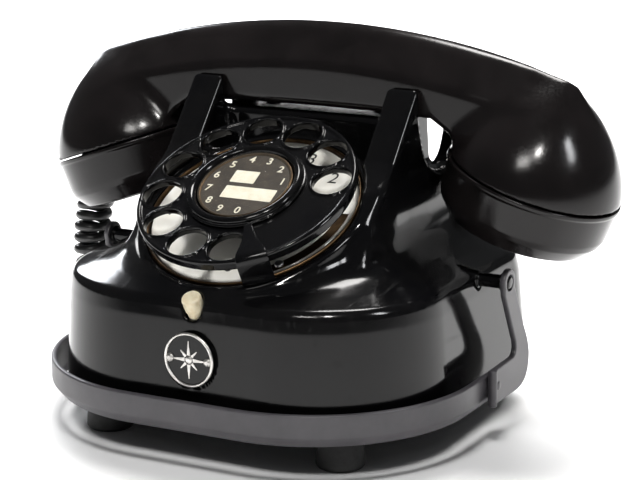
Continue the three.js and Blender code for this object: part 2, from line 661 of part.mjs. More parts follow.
// Curly handset cord: out of the mouthpiece cup, down to the table, in behind the housing, into the gland.
const GLAND_LENGTH = 2.1;
const glandEnd = WALL_REAR + GLAND_LENGTH;
const cordRoute = [
  alongGrommet(GROMMET_LENGTH + GAP), alongGrommet(GROMMET_LENGTH + 3), [-109.4, 64.2, 72.8],
  [-112.4, 61.4, 66], [-113, 57.6, 58], [-113.6, 55.4, 48], [-114.8, 54.6, 38], [-115, 55.4, 28],
  [-112.6, 58.4, 18.6], [-107.4, 64.4, 11.4], [-99.4, 72.2, 8.2], [-89, 79.8, 7.6], [-77, 85.2, 7.6],
  [-65, 88.4, 7.8], [-54.4, 90.6, 9.6], [-45.6, 91.4, 14.6], [-40, 88.8, 20.4], [-38.2, 83.6, 23.6],
  [ENTRY.cordX, glandEnd + 4, ENTRY.z], [ENTRY.cordX, glandEnd + GAP, ENTRY.z],
].map((p) => new THREE.Vector3(...p));

// A solid that stands along +Z, laid along a direction from a starting point.
function aimed(geometry, from, towards) {
  const turn = new THREE.Quaternion().setFromUnitVectors(new THREE.Vector3(0, 0, 1), towards);
  return geometry.applyMatrix4(new THREE.Matrix4().compose(from, turn, new THREE.Vector3(1, 1, 1)));
}

function cordTube() {
  const section = new THREE.Shape();
  for (let i = 0; i < CORD.sides; i += 1) {
    const angle = (i / CORD.sides) * Math.PI * 2;
    const [x, y] = [(CORD.outer / 2) * Math.cos(angle), (CORD.outer / 2) * Math.sin(angle)];
    if (i === 0) section.moveTo(x, y);
    else section.lineTo(x, y);
  }
  section.closePath();
  return new THREE.ExtrudeGeometry(section, {
    steps: 26,
    bevelEnabled: false,
    extrudePath: new THREE.CatmullRomCurve3(cordRoute, false, 'centripetal'),
  });
}
add('handset_cord', 'cloth', cordTube());
add('handset_grommet', 'rubber', aimed(turned([[0, 0], [4, 0], [4, 11], [4.8, 11],
  [4.4, GROMMET_LENGTH], [0, GROMMET_LENGTH]], 16), grommetFrom, grommetTo));

// Gland of the handset cord and bush of the line cord in the rear wall.
const backwards = new THREE.Vector3(0, 1, 0);
add('cord_gland', 'rubber', aimed(turned([[0, -6], [ENTRY.radius - GAP, -6], [ENTRY.radius - GAP, 1],
  [9, 1], [8.4, GLAND_LENGTH], [0, GLAND_LENGTH]], 20),
new THREE.Vector3(ENTRY.cordX, WALL_REAR, ENTRY.z), backwards));
add('line_cord_bush', 'rubber', aimed(turned([[2.6, -5], [ENTRY.radius - GAP, -5], [ENTRY.radius - GAP, 1],
  [8, 1], [7.4, 2.1], [2.6, 2.1], [2.6, -5]], 20),
new THREE.Vector3(ENTRY.lineX, WALL_REAR, ENTRY.z), backwards));

// ---------------------------------------------------------------- handset

const spineTop = (x) => SPINE.top - SPINE.drop * (x / HANDSET.half) ** 2;

// Cross-section of the grip at x, walked round the X axis.
function gripLoop(x, topZ, bottomZ, wide) {
  const y = HANDSET.y;
  const right = [[0.34 * wide, topZ], [0.84 * wide, topZ - 5], [wide, topZ - 12],
    [0.95 * wide, topZ - 18], [0.7 * wide, bottomZ + 1.4], [0.4 * wide, bottomZ]];
  const points = right.map(([w, z]) => new THREE.Vector3(x, y + w, z));
  right.slice().reverse().forEach(([w, z]) => points.push(new THREE.Vector3(x, y - w, z)));
  return points.reverse();
}

function grip() {
  const stations = [
    [-98.6, 106, 90, 7], [-HANDSET.half, spineTop(-HANDSET.half), 86, 11.6], [-76, spineTop(-76), 86, 15],
    [-58, spineTop(-58), 93, 15], [-46, spineTop(-46), 101.4, 14.5], [-24, spineTop(-24), 102.4, 14.4],
    [0, spineTop(0), 102.6, 14.4],
  ];
  const mirrored = stations.slice(0, -1).reverse().map(([x, ...rest]) => [-x, ...rest]);
  return loft([...stations, ...mirrored].map((station) => gripLoop(...station)));
}

const cupDome = [[0, 0], [HANDSET.cupRadius, 0], [27.8, 5], [25.2, 10], [21.4, 16], [16.6, 21.4],
  [10.6, 26.6], [5, 30.6], [0, 32.6]];
const cupHollow = [[0, -2], [26, -2], [26, 1], [21.6, 7.6], [17, 13], [12, 19], [6, 25], [0, 27]];

function handsetShell() {
  let shell = solid(grip());
  for (const side of [-1, 1]) {
    shell = shell.add(solid(onCup(side, turned(cupDome, 32))));
  }
  for (const side of [-1, 1]) {
    shell = shell.subtract(solid(onCup(side, turned(cupHollow, 24))));
  }
  const passage = new THREE.CylinderGeometry(4.4, 4.4, 164, 12);
  passage.rotateZ(Math.PI / 2);
  passage.translate(0, HANDSET.y, 109);
  shell = shell.subtract(solid(passage));
  return geometryOf(shell.subtract(solid(aimed(post(4.3, -6, 12, 14), grommetFrom, grommetTo))));
}
add('handset_shell', 'bakelite', handsetShell());

for (const [side, name] of [[-1, 'mouthpiece'], [1, 'earpiece']]) {
  const deep = -CAP_DEPTH;
  const cap = turned([[HANDSET.cupRadius - 2.6, -GAP], [HANDSET.cupRadius, -GAP], [HANDSET.cupRadius - 0.9, deep + 7.4],
    [HANDSET.cupRadius - 5.4, deep + 1], [HANDSET.cupRadius - 7, deep + 0.4], [10, deep + 1.8], [0, deep + 2],
    [0, deep + 4.4], [HANDSET.cupRadius - 6.6, deep + 4], [HANDSET.cupRadius - 3.4, deep + 8.6],
    [HANDSET.cupRadius - 2.6, -GAP]], 32);
  add(`${name}_cap`, 'bakelite', onCup(side, cap));
  const capsule = turned([[0, -8], [22, -8], [22, -1], [18, 3.4], [0, 5]], 20);
  add(`${name}_capsule`, 'steel', onCup(side, capsule));
}

export default telephone;
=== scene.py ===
"""Looks of the rotary dial table telephone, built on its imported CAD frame.

Sizes are in millimetres in the telephone's own frame: +X right, +Y to the rear, +Z up.
Most curved bodies are written as distance fields and turned into smooth meshes.
"""

import json
import math

import bpy
import numpy as np
import openvdb
from mathutils import Matrix, Vector


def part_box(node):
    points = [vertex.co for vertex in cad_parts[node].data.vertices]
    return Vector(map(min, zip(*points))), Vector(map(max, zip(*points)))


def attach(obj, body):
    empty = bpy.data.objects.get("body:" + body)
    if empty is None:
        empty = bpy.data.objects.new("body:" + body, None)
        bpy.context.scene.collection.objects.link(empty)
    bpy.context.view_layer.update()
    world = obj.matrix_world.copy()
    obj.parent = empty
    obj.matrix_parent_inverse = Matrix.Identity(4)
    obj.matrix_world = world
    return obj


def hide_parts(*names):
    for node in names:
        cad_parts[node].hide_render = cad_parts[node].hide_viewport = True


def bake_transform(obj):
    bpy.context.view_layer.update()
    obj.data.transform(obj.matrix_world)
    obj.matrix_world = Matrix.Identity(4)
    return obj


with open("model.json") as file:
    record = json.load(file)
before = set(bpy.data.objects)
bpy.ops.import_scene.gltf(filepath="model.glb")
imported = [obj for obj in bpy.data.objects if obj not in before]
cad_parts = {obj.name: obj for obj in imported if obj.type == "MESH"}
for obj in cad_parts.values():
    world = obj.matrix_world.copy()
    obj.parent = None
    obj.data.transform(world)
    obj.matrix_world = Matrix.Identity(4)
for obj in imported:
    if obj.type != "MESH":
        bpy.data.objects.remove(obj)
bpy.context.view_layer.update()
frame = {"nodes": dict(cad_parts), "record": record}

MM = 0.001

# ---------------------------------------------------------------- driving dimensions

WALL = 2.6
SKIRT_FOOT = 15
KNEE_TOP = 51
TOWER_TOP = 80
# height, half width, front, rear, front corner, rear corner of the case's outer skin
SKIN = np.array([
    (15, 68.2, -59.4, 64.8, 46, 20),
    (17, 69, -60.2, 65.6, 46, 21),
    (46, 67.2, -58.4, 63.6, 44, 21),
    (51, 66.4, -57.6, 62.8, 43, 21),
    (53, 65, -56.2, 61.6, 42, 20),
    (55.4, 57, -48, 58.6, 34, 17),
    (58.4, 51, -40, 56.6, 28, 15),
    (63, 47, -30, 55.2, 22, 13),
    (70, 44.4, -20, 54.4, 16, 12),
    (80, 43, -14, 54, 12, 11),
])
FORK_MID, FORK_HALF = 37.25, 5.75
REAR_FORK_MID, REAR_FORK_HALF = 42.4, 4.8
BRIDGE_HALF = 31.6
SADDLE_Y = 33.5

DIAL_CENTRE = Vector((0, -22.9, 82.3))
DIAL_TILT = math.radians(29)
WHEEL_CLEARANCE = 38.4
HOLE_CIRCLE = 29
HOLE_RADIUS = 6.5
FIRST_HOLE = math.radians(14.6)
HOLE_PITCH = math.radians(30)
COLLAR_RADIUS, COLLAR_RIM = 39.6, -8.9
WELL_RADIUS, WELL_FLOOR, THROAT_RADIUS = 36.8, -13, 34
STOP_ANGLE = FIRST_HOLE + 9.5 * HOLE_PITCH

HANDSET_Y, HANDSET_HALF = 32.5, 92.4
CUP_X, CUP_Z, CUP_RADIUS, CUP_LEAN = 78, 82.8, 29.6, 0.33
DOME_HEIGHT = 32

BUTTON_TOP = Vector((0, -58.4, 54.4))
BUTTON_LEAN = math.radians(30)
BADGE_Z, BADGE_FACE, BADGE_RADIUS = 34.2, -59, 9
PIVOT_Y, PIVOT_Z = 13.1, 51
ARM_NEAR, ARM_THICK, EYE_RADIUS = 75.9, 2, 4.6
ENTRY_Z, CORD_ENTRY_X, LINE_ENTRY_X, REAR_FACE = 24, -38, 36, 64.9

DIAL = Matrix.Translation(DIAL_CENTRE) @ Matrix.Rotation(DIAL_TILT, 4, "X")
BUTTON = Matrix.Translation(BUTTON_TOP) @ Matrix.Rotation(BUTTON_LEAN, 4, "X")


def cup_matrix(side):
    return Matrix.Translation((side * CUP_X, HANDSET_Y, CUP_Z)) @ Matrix.Rotation(side * CUP_LEAN, 4, "Y")


def pointing(start, direction):
    """Local +Z laid along a direction from a starting point."""
    turn = Vector((0, 0, 1)).rotation_difference(Vector(direction)).to_matrix().to_4x4()
    return Matrix.Translation(start) @ turn


# ---------------------------------------------------------------- camera

CAMERA_PLACE = Vector((329.3, -584.9, 223.9))
CAMERA_ANGLES = (28.27, 13.75, -0.49)
CAMERA_LENS = 115.5


def add_camera():
    azimuth, elevation, roll = (math.radians(a) for a in CAMERA_ANGLES)
    back = Vector((math.sin(azimuth) * math.cos(elevation),
                   -math.cos(azimuth) * math.cos(elevation), math.sin(elevation)))
    right = Vector((math.cos(azimuth), math.sin(azimuth), 0))
    up = back.cross(right)
    level_right = right * math.cos(roll) + up * math.sin(roll)
    level_up = up * math.cos(roll) - right * math.sin(roll)
    data = bpy.data.cameras.new("camera")
    data.sensor_width = 36
    data.lens = CAMERA_LENS
    data.clip_start = 0.05
    camera = bpy.data.objects.new("camera", data)
    turn = Matrix((level_right, level_up, back)).transposed().to_4x4()
    camera.matrix_world = Matrix.Translation(CAMERA_PLACE * MM) @ turn
    bpy.context.scene.collection.objects.link(camera)
    bpy.context.scene.camera = camera


add_camera()

# ---------------------------------------------------------------- mesh helpers

def make(name, points, faces, normals=None, sharp=None):
    """An object from points in millimetres; sharp is the angle beyond which an edge stays crisp."""
    mesh = bpy.data.meshes.new(name)
    mesh.from_pydata((np.asarray(points, float) * MM).tolist(), [], [tuple(f) for f in faces])
    mesh.update()
    mesh.polygons.foreach_set("use_smooth", [True] * len(mesh.polygons))
    if normals is not None:
        mesh.normals_split_custom_set_from_vertices(normals.tolist())
    elif sharp is not None:
        mesh.set_sharp_from_angle(angle=math.radians(sharp))
    obj = bpy.data.objects.new(name, mesh)
    bpy.context.scene.collection.objects.link(obj)
    return obj


def place(points, matrix):
    rotation = np.array(matrix.to_3x3())
    return np.asarray(points, float) @ rotation.T + np.array(matrix.translation)


def loft(name, loops, matrix=None, closed=False, sharp=40):
    """A closed body through loops of points; closed joins the last loop to the first."""
    loops = [np.asarray(loop, float) for loop in loops]
    count, rows = len(loops[0]), len(loops)
    faces = []
    for row in range(rows if closed else rows - 1):
        after = (row + 1) % rows
        for i in range(count):
            j = (i + 1) % count
            faces.append((row * count + i, row * count + j, after * count + j, after * count + i))
    if not closed:
        faces.append(tuple(reversed(range(count))))
        faces.append(tuple((rows - 1) * count + i for i in range(count)))
    points = np.concatenate(loops)
    if matrix is not None:
        points = place(points, matrix)
    obj = make(name, points, faces, sharp=sharp)
    outward(obj)
    return obj


def outward(obj):
    """Turns all faces outwards."""
    import bmesh
    bm = bmesh.new()
    bm.from_mesh(obj.data)
    bmesh.ops.recalc_face_normals(bm, faces=bm.faces)
    bm.to_mesh(obj.data)
    bm.free()


def eased(outline, radius, steps=4, closed=True):
    """The outline with each corner replaced by a small arc."""
    points = [np.asarray(p[:2], float) for p in outline]
    radii = [p[2] if len(p) > 2 else radius for p in outline]
    result = []
    for i, corner in enumerate(points):
        if not closed and i in (0, len(points) - 1):
            result.append(tuple(corner))
            continue
        before, after = points[i - 1] - corner, points[(i + 1) % len(points)] - corner
        reach = min(radii[i], 0.45 * np.linalg.norm(before), 0.45 * np.linalg.norm(after))
        a = corner + before / max(np.linalg.norm(before), 1e-9) * reach
        b = corner + after / max(np.linalg.norm(after), 1e-9) * reach
        for k in range(steps + 1):
            t = k / steps
            result.append(tuple((1 - t) ** 2 * a + 2 * t * (1 - t) * corner + t * t * b))
    return result


def turned(name, profile, matrix=None, segments=72, ease=0.35, steps=4, sharp=40):
    """A solid of revolution about local +Z. An open profile starts and ends on the axis."""
    on_axis = profile[0][0] == 0 and profile[-1][0] == 0
    outline = eased(profile, ease, steps, closed=not on_axis)
    angles = np.linspace(0, 2 * math.pi, segments, endpoint=False)
    rows = outline[1:-1] if on_axis else outline
    points = [(r * math.cos(a), r * math.sin(a), z) for r, z in rows for a in angles]
    faces = []
    for row in range(len(rows) - 1 if on_axis else len(rows)):
        after = (row + 1) % len(rows)
        for i in range(segments):
            j = (i + 1) % segments
            faces.append((row * segments + i, row * segments + j, after * segments + j, after * segments + i))
    if on_axis:
        for (_, height), row in ((outline[0], 0), (outline[-1], len(rows) - 1)):
            points.append((0, 0, height))
            hub = len(points) - 1
            faces += [(hub, row * segments + (i + 1) % segments, row * segments + i) for i in range(segments)]
    obj = make(name, place(points, matrix or Matrix.Identity(4)), faces, sharp=sharp)
    outward(obj)
    return obj


def bezier(a, b, c, steps=6):
    """Points after a on the quadratic curve from a to c that is drawn towards b."""
    t = np.linspace(0, 1, steps + 1)[1:, None]
    a, b, c = (np.array(p, float) for p in (a, b, c))
    return [tuple(p) for p in (1 - t) ** 2 * a + 2 * t * (1 - t) * b + t * t * c]


# ---------------------------------------------------------------- distance fields

def smooth_union(a, b, radius):
    h = np.clip(0.5 + 0.5 * (b - a) / radius, 0, 1)
    return b + (a - b) * h - radius * h * (1 - h)


def smooth_common(a, b, radius):
    return -smooth_union(-a, -b, radius)


def cut_out(a, tool, radius=0.5):
    return smooth_common(a, -tool, radius)


def outline_distance(points, u, v):
    """Signed distance to a closed outline in its own plane, negative inside."""
    nearest, inside = None, False
    for (ax, ay), (bx, by) in zip(points, points[1:] + points[:1]):
        ex, ey = bx - ax, by - ay
        t = np.clip(((u - ax) * ex + (v - ay) * ey) / max(ex * ex + ey * ey, 1e-12), 0, 1)
        distance = (u - ax - ex * t) ** 2 + (v - ay - ey * t) ** 2
        nearest = distance if nearest is None else np.minimum(nearest, distance)
        crossing = (np.asarray(v) < ay) != (np.asarray(v) < by)
        inside = inside ^ (crossing & (u < ax + ex * (v - ay) / (ey or 1e-12)))
    return np.where(inside, -1, 1) * np.sqrt(nearest)


def slab(flat, across, half, edge):
    """A plate with rounded edges: flat is the distance to its outline, across runs through it."""
    a, b = flat + edge, np.abs(across) - half + edge
    return np.minimum(np.maximum(a, b), 0) + np.hypot(np.maximum(a, 0), np.maximum(b, 0)) - edge


def gradient(field, points, reach):
    steps = [np.array(e) * reach for e in ((1, 0, 0), (0, 1, 0), (0, 0, 1))]
    return np.stack([field(*(points + e).T) - field(*(points - e).T) for e in steps], 1) / (2 * reach)


def surface(name, field, low, high, step, matrix=None):
    """The closed surface where field(x, y, z) is zero, inside the box from low to high."""
    margin = 3 * step
    axes = [np.arange(a - margin, b + margin, step) for a, b in zip(low, high)]
    grid = openvdb.FloatGrid(margin)
    values = field(*np.meshgrid(*axes, indexing="ij", sparse=True))
    grid.copyFromArray(np.clip(values, -margin, margin).astype(np.float32))
    points, quads = grid.convertToQuads(0.0)
    points = points.astype(float) * step + [a[0] for a in axes]
    for _ in range(2):
        slope = gradient(field, points, 0.25 * step)
        steepness = np.maximum((slope ** 2).sum(1), 0.2)
        move = (field(*points.T) / steepness)[:, None] * slope
        points -= np.clip(move, -step, step)
    normals = gradient(field, points, 0.5 * step)
    normals /= np.maximum(np.linalg.norm(normals, axis=1), 1e-9)[:, None]
    corner = points[quads]
    facing = np.cross(corner[:, 2] - corner[:, 0], corner[:, 3] - corner[:, 1])
    if (facing * normals[quads[:, 0]]).sum() < 0:
        quads = quads[:, ::-1]
    if matrix is not None:
        points = place(points, matrix)
        normals = normals @ np.array(matrix.to_3x3()).T
    return make(name, points, quads.tolist(), normals=normals)


# ---------------------------------------------------------------- materials

class Shader:
    """A Principled material with a few shorthand node makers."""

    def __init__(self, name, **sockets):
        self.material = bpy.data.materials.new(name)
        self.material.use_nodes = True
        self.nodes = self.material.node_tree.nodes
        self.links = self.material.node_tree.links
        self.surface = self.nodes["Principled BSDF"]
        self.place = self.nodes.new("ShaderNodeTexCoord").outputs["Object"]
        for socket, value in sockets.items():
            self.surface.inputs[socket.replace("_", " ")].default_value = value

    def noise(self, size_mm, detail=4.0, rough=0.6, stretch=(1, 1, 1), distortion=0.0):
        mapping = self.nodes.new("ShaderNodeMapping")
        mapping.inputs["Scale"].default_value = stretch
        self.links.new(self.place, mapping.inputs["Vector"])
        node = self.nodes.new("ShaderNodeTexNoise")
        node.inputs["Scale"].default_value = 1 / (size_mm * MM)
        node.inputs["Detail"].default_value = detail
        node.inputs["Roughness"].default_value = rough
        node.inputs["Distortion"].default_value = distortion
        self.links.new(mapping.outputs["Vector"], node.inputs["Vector"])
        return node.outputs["Fac"]

    def ramp(self, fac, *stops):
        node = self.nodes.new("ShaderNodeValToRGB")
        while len(node.color_ramp.elements) < len(stops):
            node.color_ramp.elements.new(0.5)
        for element, (where, colour) in zip(node.color_ramp.elements, stops):
            element.position = where
            if not isinstance(colour, tuple):
                colour = (colour, colour, colour)
            element.color = (*colour, 1)
        self.links.new(fac, node.inputs["Fac"])
        return node.outputs["Color"]

    def blend(self, fac, a, b, how="MIX"):
        node = self.nodes.new("ShaderNodeMix")
        node.data_type = "RGBA"
        node.blend_type = how
        for value, socket in ((fac, node.inputs[0]), (a, node.inputs[6]), (b, node.inputs[7])):
            if isinstance(value, bpy.types.NodeSocket):
                self.links.new(value, socket)
            elif socket is node.inputs[0] or isinstance(value, tuple):
                socket.default_value = value if not isinstance(value, tuple) else (*value, 1)
            else:
                socket.default_value = (value, value, value, 1)
        return node.outputs[2]

    def bump(self, height, depth_mm, after=None):
        node = self.nodes.new("ShaderNodeBump")
        node.inputs["Strength"].default_value = 1
        node.inputs["Distance"].default_value = depth_mm * MM
        self.links.new(height, node.inputs["Height"])
        if after is not None:
            self.links.new(after, node.inputs["Normal"])
        return node.outputs["Normal"]

    def set(self, socket, output):
        self.links.new(output, self.surface.inputs[socket])


def enamel_black():
    s = Shader("black_enamel", Specular_IOR_Level=0.27)
    cloud = s.noise(26, 5)
    fine = s.noise(0.9, 3)
    scratch = s.noise(2.2, 2, stretch=(1, 0.06, 0.4), distortion=0.4)
    s.set("Base Color", s.ramp(cloud, (0.35, (0.0025, 0.0025, 0.003)), (0.7, (0.005, 0.0048, 0.0048))))
    worn = s.ramp(cloud, (0.3, 0.07), (0.75, 0.16))
    s.set("Roughness", s.blend(s.ramp(scratch, (0.62, 0.0), (0.7, 0.5)), worn, 0.34))
    s.set("Normal", s.bump(s.noise(9, 2), 0.02, s.bump(fine, 0.0015)))
    return s.material


def bakelite_black():
    s = Shader("black_bakelite", Specular_IOR_Level=0.3)
    cloud = s.noise(20, 5)
    grain = s.noise(0.8, 4, 0.7)
    s.set("Base Color", s.ramp(cloud, (0.3, (0.005, 0.0042, 0.0042)), (0.75, (0.011, 0.009, 0.009))))
    rubbed = s.ramp(cloud, (0.3, 0.08), (0.7, 0.17))
    s.set("Roughness", s.blend(s.ramp(grain, (0.4, 0.0), (0.8, 0.35)), rubbed, 0.45))
    s.set("Normal", s.bump(s.noise(6, 2), 0.02, s.bump(grain, 0.016)))
    return s.material


def satin_grey():
    s = Shader("satin_grey_metal", IOR=1.5)
    cloud = s.noise(14, 5)
    grain = s.noise(0.5, 3, 0.7)
    s.set("Base Color", s.ramp(cloud, (0.3, (0.05, 0.047, 0.053)), (0.75, (0.085, 0.08, 0.088))))
    s.set("Roughness", s.ramp(cloud, (0.3, 0.34), (0.75, 0.5)))
    s.set("Normal", s.bump(grain, 0.008))
    return s.material


def white_enamel():
    s = Shader("white_enamel", Roughness=0.12)
    stain = s.noise(9, 5)
    s.set("Base Color", s.ramp(stain, (0.35, (0.86, 0.83, 0.74)), (0.7, (0.93, 0.91, 0.85))))
    s.set("Normal", s.bump(s.noise(6, 2), 0.03))
    return s.material


def digit_black():
    s = Shader("digit_black")
    s.set("Base Color", s.ramp(s.noise(1.5), (0.3, 0.006), (0.8, 0.02)))
    s.set("Roughness", s.ramp(s.noise(3), (0.3, 0.25), (0.8, 0.4)))
    return s.material


def aged_card():
    s = Shader("aged_card", Roughness=0.55)
    blotch = s.noise(3.2, 6, 0.65)
    speck = s.noise(0.6, 3, 0.7)
    dark = s.ramp(blotch, (0.35, (0.008, 0.006, 0.005)), (0.75, (0.045, 0.032, 0.022)))
    s.set("Base Color", s.blend(s.ramp(speck, (0.6, 0.0), (0.78, 0.6)), dark, (0.11, 0.085, 0.06)))
    s.set("Normal", s.bump(blotch, 0.02))
    return s.material


def cream_paper():
    s = Shader("cream_paper", Roughness=0.6)
    s.set("Base Color", s.ramp(s.noise(2.4, 5), (0.3, (0.78, 0.72, 0.55)), (0.75, (0.9, 0.87, 0.74))))
    return s.material


def cream_button():
    s = Shader("cream_button", Roughness=0.3)
    s.surface.inputs["Subsurface Weight"].default_value = 0.15
    s.surface.inputs["Subsurface Radius"].default_value = (0.002, 0.0015, 0.001)
    s.set("Base Color", s.ramp(s.noise(2.5, 5), (0.3, (0.72, 0.6, 0.38)), (0.7, (0.86, 0.79, 0.6))))
    return s.material


def clear_window():
    s = Shader("clear_window", Roughness=0.03, Alpha=0.1)
    s.set("Base Color", s.ramp(s.noise(4), (0.3, (0.1, 0.09, 0.07)), (0.8, (0.18, 0.16, 0.13))))
    return s.material


def old_brass():
    s = Shader("old_brass", Metallic=1.0)
    tarnish = s.noise(5, 6, 0.65)
    s.set("Base Color", s.ramp(tarnish, (0.3, (0.09, 0.05, 0.022)), (0.7, (0.3, 0.19, 0.08))))
    s.set("Roughness", s.ramp(tarnish, (0.3, 0.5), (0.7, 0.28)))
    return s.material


def dark_bronze_and_painted_shade():
    # dark bronze for the dial ring and the card ring; also painted shade on the plate's shaded strip beside
    # the finger stop
    s = Shader("dark_bronze_and_painted_shade", Metallic=1.0)
    tarnish = s.noise(5, 6, 0.65)
    s.set("Base Color", s.ramp(tarnish, (0.3, (0.035, 0.02, 0.01)), (0.7, (0.13, 0.08, 0.04))))
    s.set("Roughness", s.ramp(tarnish, (0.3, 0.5), (0.7, 0.3)))
    return s.material


def dull_steel():
    s = Shader("dull_steel", Metallic=1.0)
    tarnish = s.noise(4, 6, 0.65)
    s.set("Base Color", s.ramp(tarnish, (0.3, (0.22, 0.22, 0.22)), (0.7, (0.45, 0.44, 0.43))))
    s.set("Roughness", s.ramp(tarnish, (0.3, 0.45), (0.7, 0.28)))
    s.set("Normal", s.bump(s.noise(0.4, 3), 0.004))
    return s.material


def worn_silver():
    s = Shader("worn_silver", Metallic=1.0)
    tarnish = s.noise(2.5, 6, 0.65)
    s.set("Base Color", s.ramp(tarnish, (0.3, (0.4, 0.39, 0.37)), (0.7, (0.72, 0.7, 0.67))))
    s.set("Roughness", s.ramp(tarnish, (0.3, 0.42), (0.7, 0.26)))
    return s.material


def black_rubber(name="black_rubber", rough=(0.55, 0.75), tone=(0.006, 0.012)):
    s = Shader(name)
    s.set("Base Color", s.ramp(s.noise(5), (0.3, tone[0]), (0.8, tone[1])))
    s.set("Roughness", s.ramp(s.noise(2), (0.3, rough[0]), (0.8, rough[1])))
    s.set("Normal", s.bump(s.noise(0.5, 3), 0.015))
    return s.material


def copper_winding():
    s = Shader("copper_winding", Metallic=0.6)
    s.set("Base Color", s.ramp(s.noise(3), (0.3, (0.18, 0.07, 0.03)), (0.8, (0.34, 0.15, 0.07))))
    s.set("Roughness", s.ramp(s.noise(0.5, 3, stretch=(1, 0.1, 0.1)), (0.3, 0.4), (0.8, 0.65)))
    return s.material


ENAMEL = enamel_black()
BAKELITE = bakelite_black()
SATIN = satin_grey()
WHITE = white_enamel()
DIGIT = digit_black()
CARD = aged_card()
PAPER = cream_paper()
IVORY = cream_button()
CLEAR = clear_window()
BRASS = old_brass()
BRONZE_AND_SHADE = dark_bronze_and_painted_shade()
STEEL = dull_steel()
SILVER = worn_silver()
RUBBER = black_rubber()
CORD = black_rubber("cord_sheath", (0.3, 0.45), (0.006, 0.014))
COPPER = copper_winding()

SLOT_LOOKS = {
    "enamel": ENAMEL, "bakelite": BAKELITE, "satin": SATIN, "ivory": IVORY, "white": WHITE,
    "card": CARD, "clear": CLEAR, "brass": BRASS, "steel": STEEL, "silver": SILVER,
    "rubber": RUBBER, "copper": COPPER, "cloth": CORD,
}


def dress(obj, material, body, slot, *stands_for):
    """Gives a piece its material, the body that it moves with and the CAD nodes that it stands for."""
    obj.data.materials.clear()
    obj.data.materials.append(material)
    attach(obj, body)
    if stands_for:
        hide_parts(*stands_for)
    return obj


def dress_cad_nodes():
    """Every CAD node gets the looks of its slot; those that stay visible keep their own shape."""
    slots = {row["node"]: row["material_slot"] for row in frame["record"]["subparts"]}
    for name, obj in frame["nodes"].items():
        look = SLOT_LOOKS[slots[name]]
        if not obj.material_slots:
            obj.data.materials.append(look)
        for holder in obj.material_slots:
            holder.material = look


dress_cad_nodes()

# ---------------------------------------------------------------- handset cord

CORD_WIRE = 3.6
CORD_COIL = 5.4
CORD_PITCH = 3.75
# the route of part.mjs, millimetres: from the grommet down beside the case, in behind it, to the gland
GROMMET_START = Vector((-92, 51.5, 82.5))
GROMMET_WAY = Vector((-0.72, 0.62, -0.31)).normalized()
GROMMET_LENGTH = 15
GLAND_END = 67.0
# the points that the cord's route runs through, in millimetres, from the grommet's end to the gland
CORD_ROUTE = [
    GROMMET_START + GROMMET_WAY * (GROMMET_LENGTH + 0.3), GROMMET_START + GROMMET_WAY * (GROMMET_LENGTH + 3),
    (-109.4, 64.2, 72.8), (-112.4, 61.4, 66), (-113, 57.6, 58), (-113.6, 55.4, 48), (-114.8, 54.6, 38),
    (-115, 55.4, 28), (-112.6, 58.4, 18.6), (-107.4, 64.4, 11.4), (-99.4, 72.2, 8.2), (-89, 79.8, 7.6),
    (-77, 85.2, 7.6), (-65, 88.4, 7.8), (-54.4, 90.6, 9.6), (-45.6, 91.4, 14.6), (-40, 88.8, 20.4),
    (-38.2, 83.6, 23.6), (CORD_ENTRY_X, GLAND_END + 4, ENTRY_Z), (CORD_ENTRY_X, GLAND_END + 0.3, ENTRY_Z),
]


def through(points, per_span=24):
    """A centripetal Catmull-Rom curve through the points, as many short steps."""
    p = [np.array(q, float) for q in points]
    p = [2 * p[0] - p[1], *p, 2 * p[-1] - p[-2]]
    line = []
    for a, b, c, d in zip(p, p[1:], p[2:], p[3:]):
        t0 = 0.0
        t1 = t0 + math.sqrt(np.linalg.norm(b - a))
        t2 = t1 + math.sqrt(np.linalg.norm(c - b))
        t3 = t2 + math.sqrt(np.linalg.norm(d - c))
        for t in np.linspace(t1, t2, per_span, endpoint=False):
            ab = ((t1 - t) * a + (t - t0) * b) / (t1 - t0)
            bc = ((t2 - t) * b + (t - t1) * c) / (t2 - t1)
            cd = ((t3 - t) * c + (t - t2) * d) / (t3 - t2)
            abc = ((t2 - t) * ab + (t - t0) * bc) / (t2 - t0)
            bcd = ((t3 - t) * bc + (t - t1) * cd) / (t3 - t1)
            line.append(((t2 - t) * abc + (t - t1) * bcd) / (t2 - t1))
    line.append(p[-2])
    return np.array(line)


def even(line, step):
    """The line again, at even steps along its length."""
    run = np.concatenate([[0], np.cumsum(np.linalg.norm(np.diff(line, axis=0), axis=1))])
    at = np.linspace(0, run[-1], max(2, round(run[-1] / step) + 1))
    return np.stack([np.interp(at, run, line[:, i]) for i in range(3)], 1)


def frames_along(line):
    """Directions along a line and two steady crossways directions at each of its points."""
    ahead = np.gradient(line, axis=0)
    ahead /= np.linalg.norm(ahead, axis=1)[:, None]
    side = np.cross(ahead[0], (0, 0, 1))
    side /= np.linalg.norm(side)
    sides = []
    for direction in ahead:
        side = side - direction * np.dot(side, direction)
        side = side / np.linalg.norm(side)
        sides.append(side)
    sides = np.array(sides)
    return ahead, sides, np.cross(ahead, sides)


def curly_line():
    """The cord's own centreline: straight at both ends, wound into a helix along the route."""
    route = even(through(CORD_ROUTE), 0.25)
    ahead, across, over = frames_along(route)
    step = np.linalg.norm(route[1] - route[0])
    bend = np.linalg.norm(np.gradient(ahead, axis=0), axis=1) / step
    bend = np.convolve(np.pad(bend, 20, mode="edge"), np.ones(41) / 41, "valid")
    pitch = CORD_PITCH / (1 - np.clip(CORD_COIL * bend, 0, 0.5))
    turn = np.cumsum(2 * math.pi * step / pitch)
    run = np.arange(len(route)) * step
    ease = np.clip(np.minimum(run, run[-1] - run) / 7, 0, 1)
    radius = CORD_COIL * ease * ease * (3 - 2 * ease)
    helix = route + radius[:, None] * (np.cos(turn)[:, None] * across + np.sin(turn)[:, None] * over)
    return even(helix, 2.0)


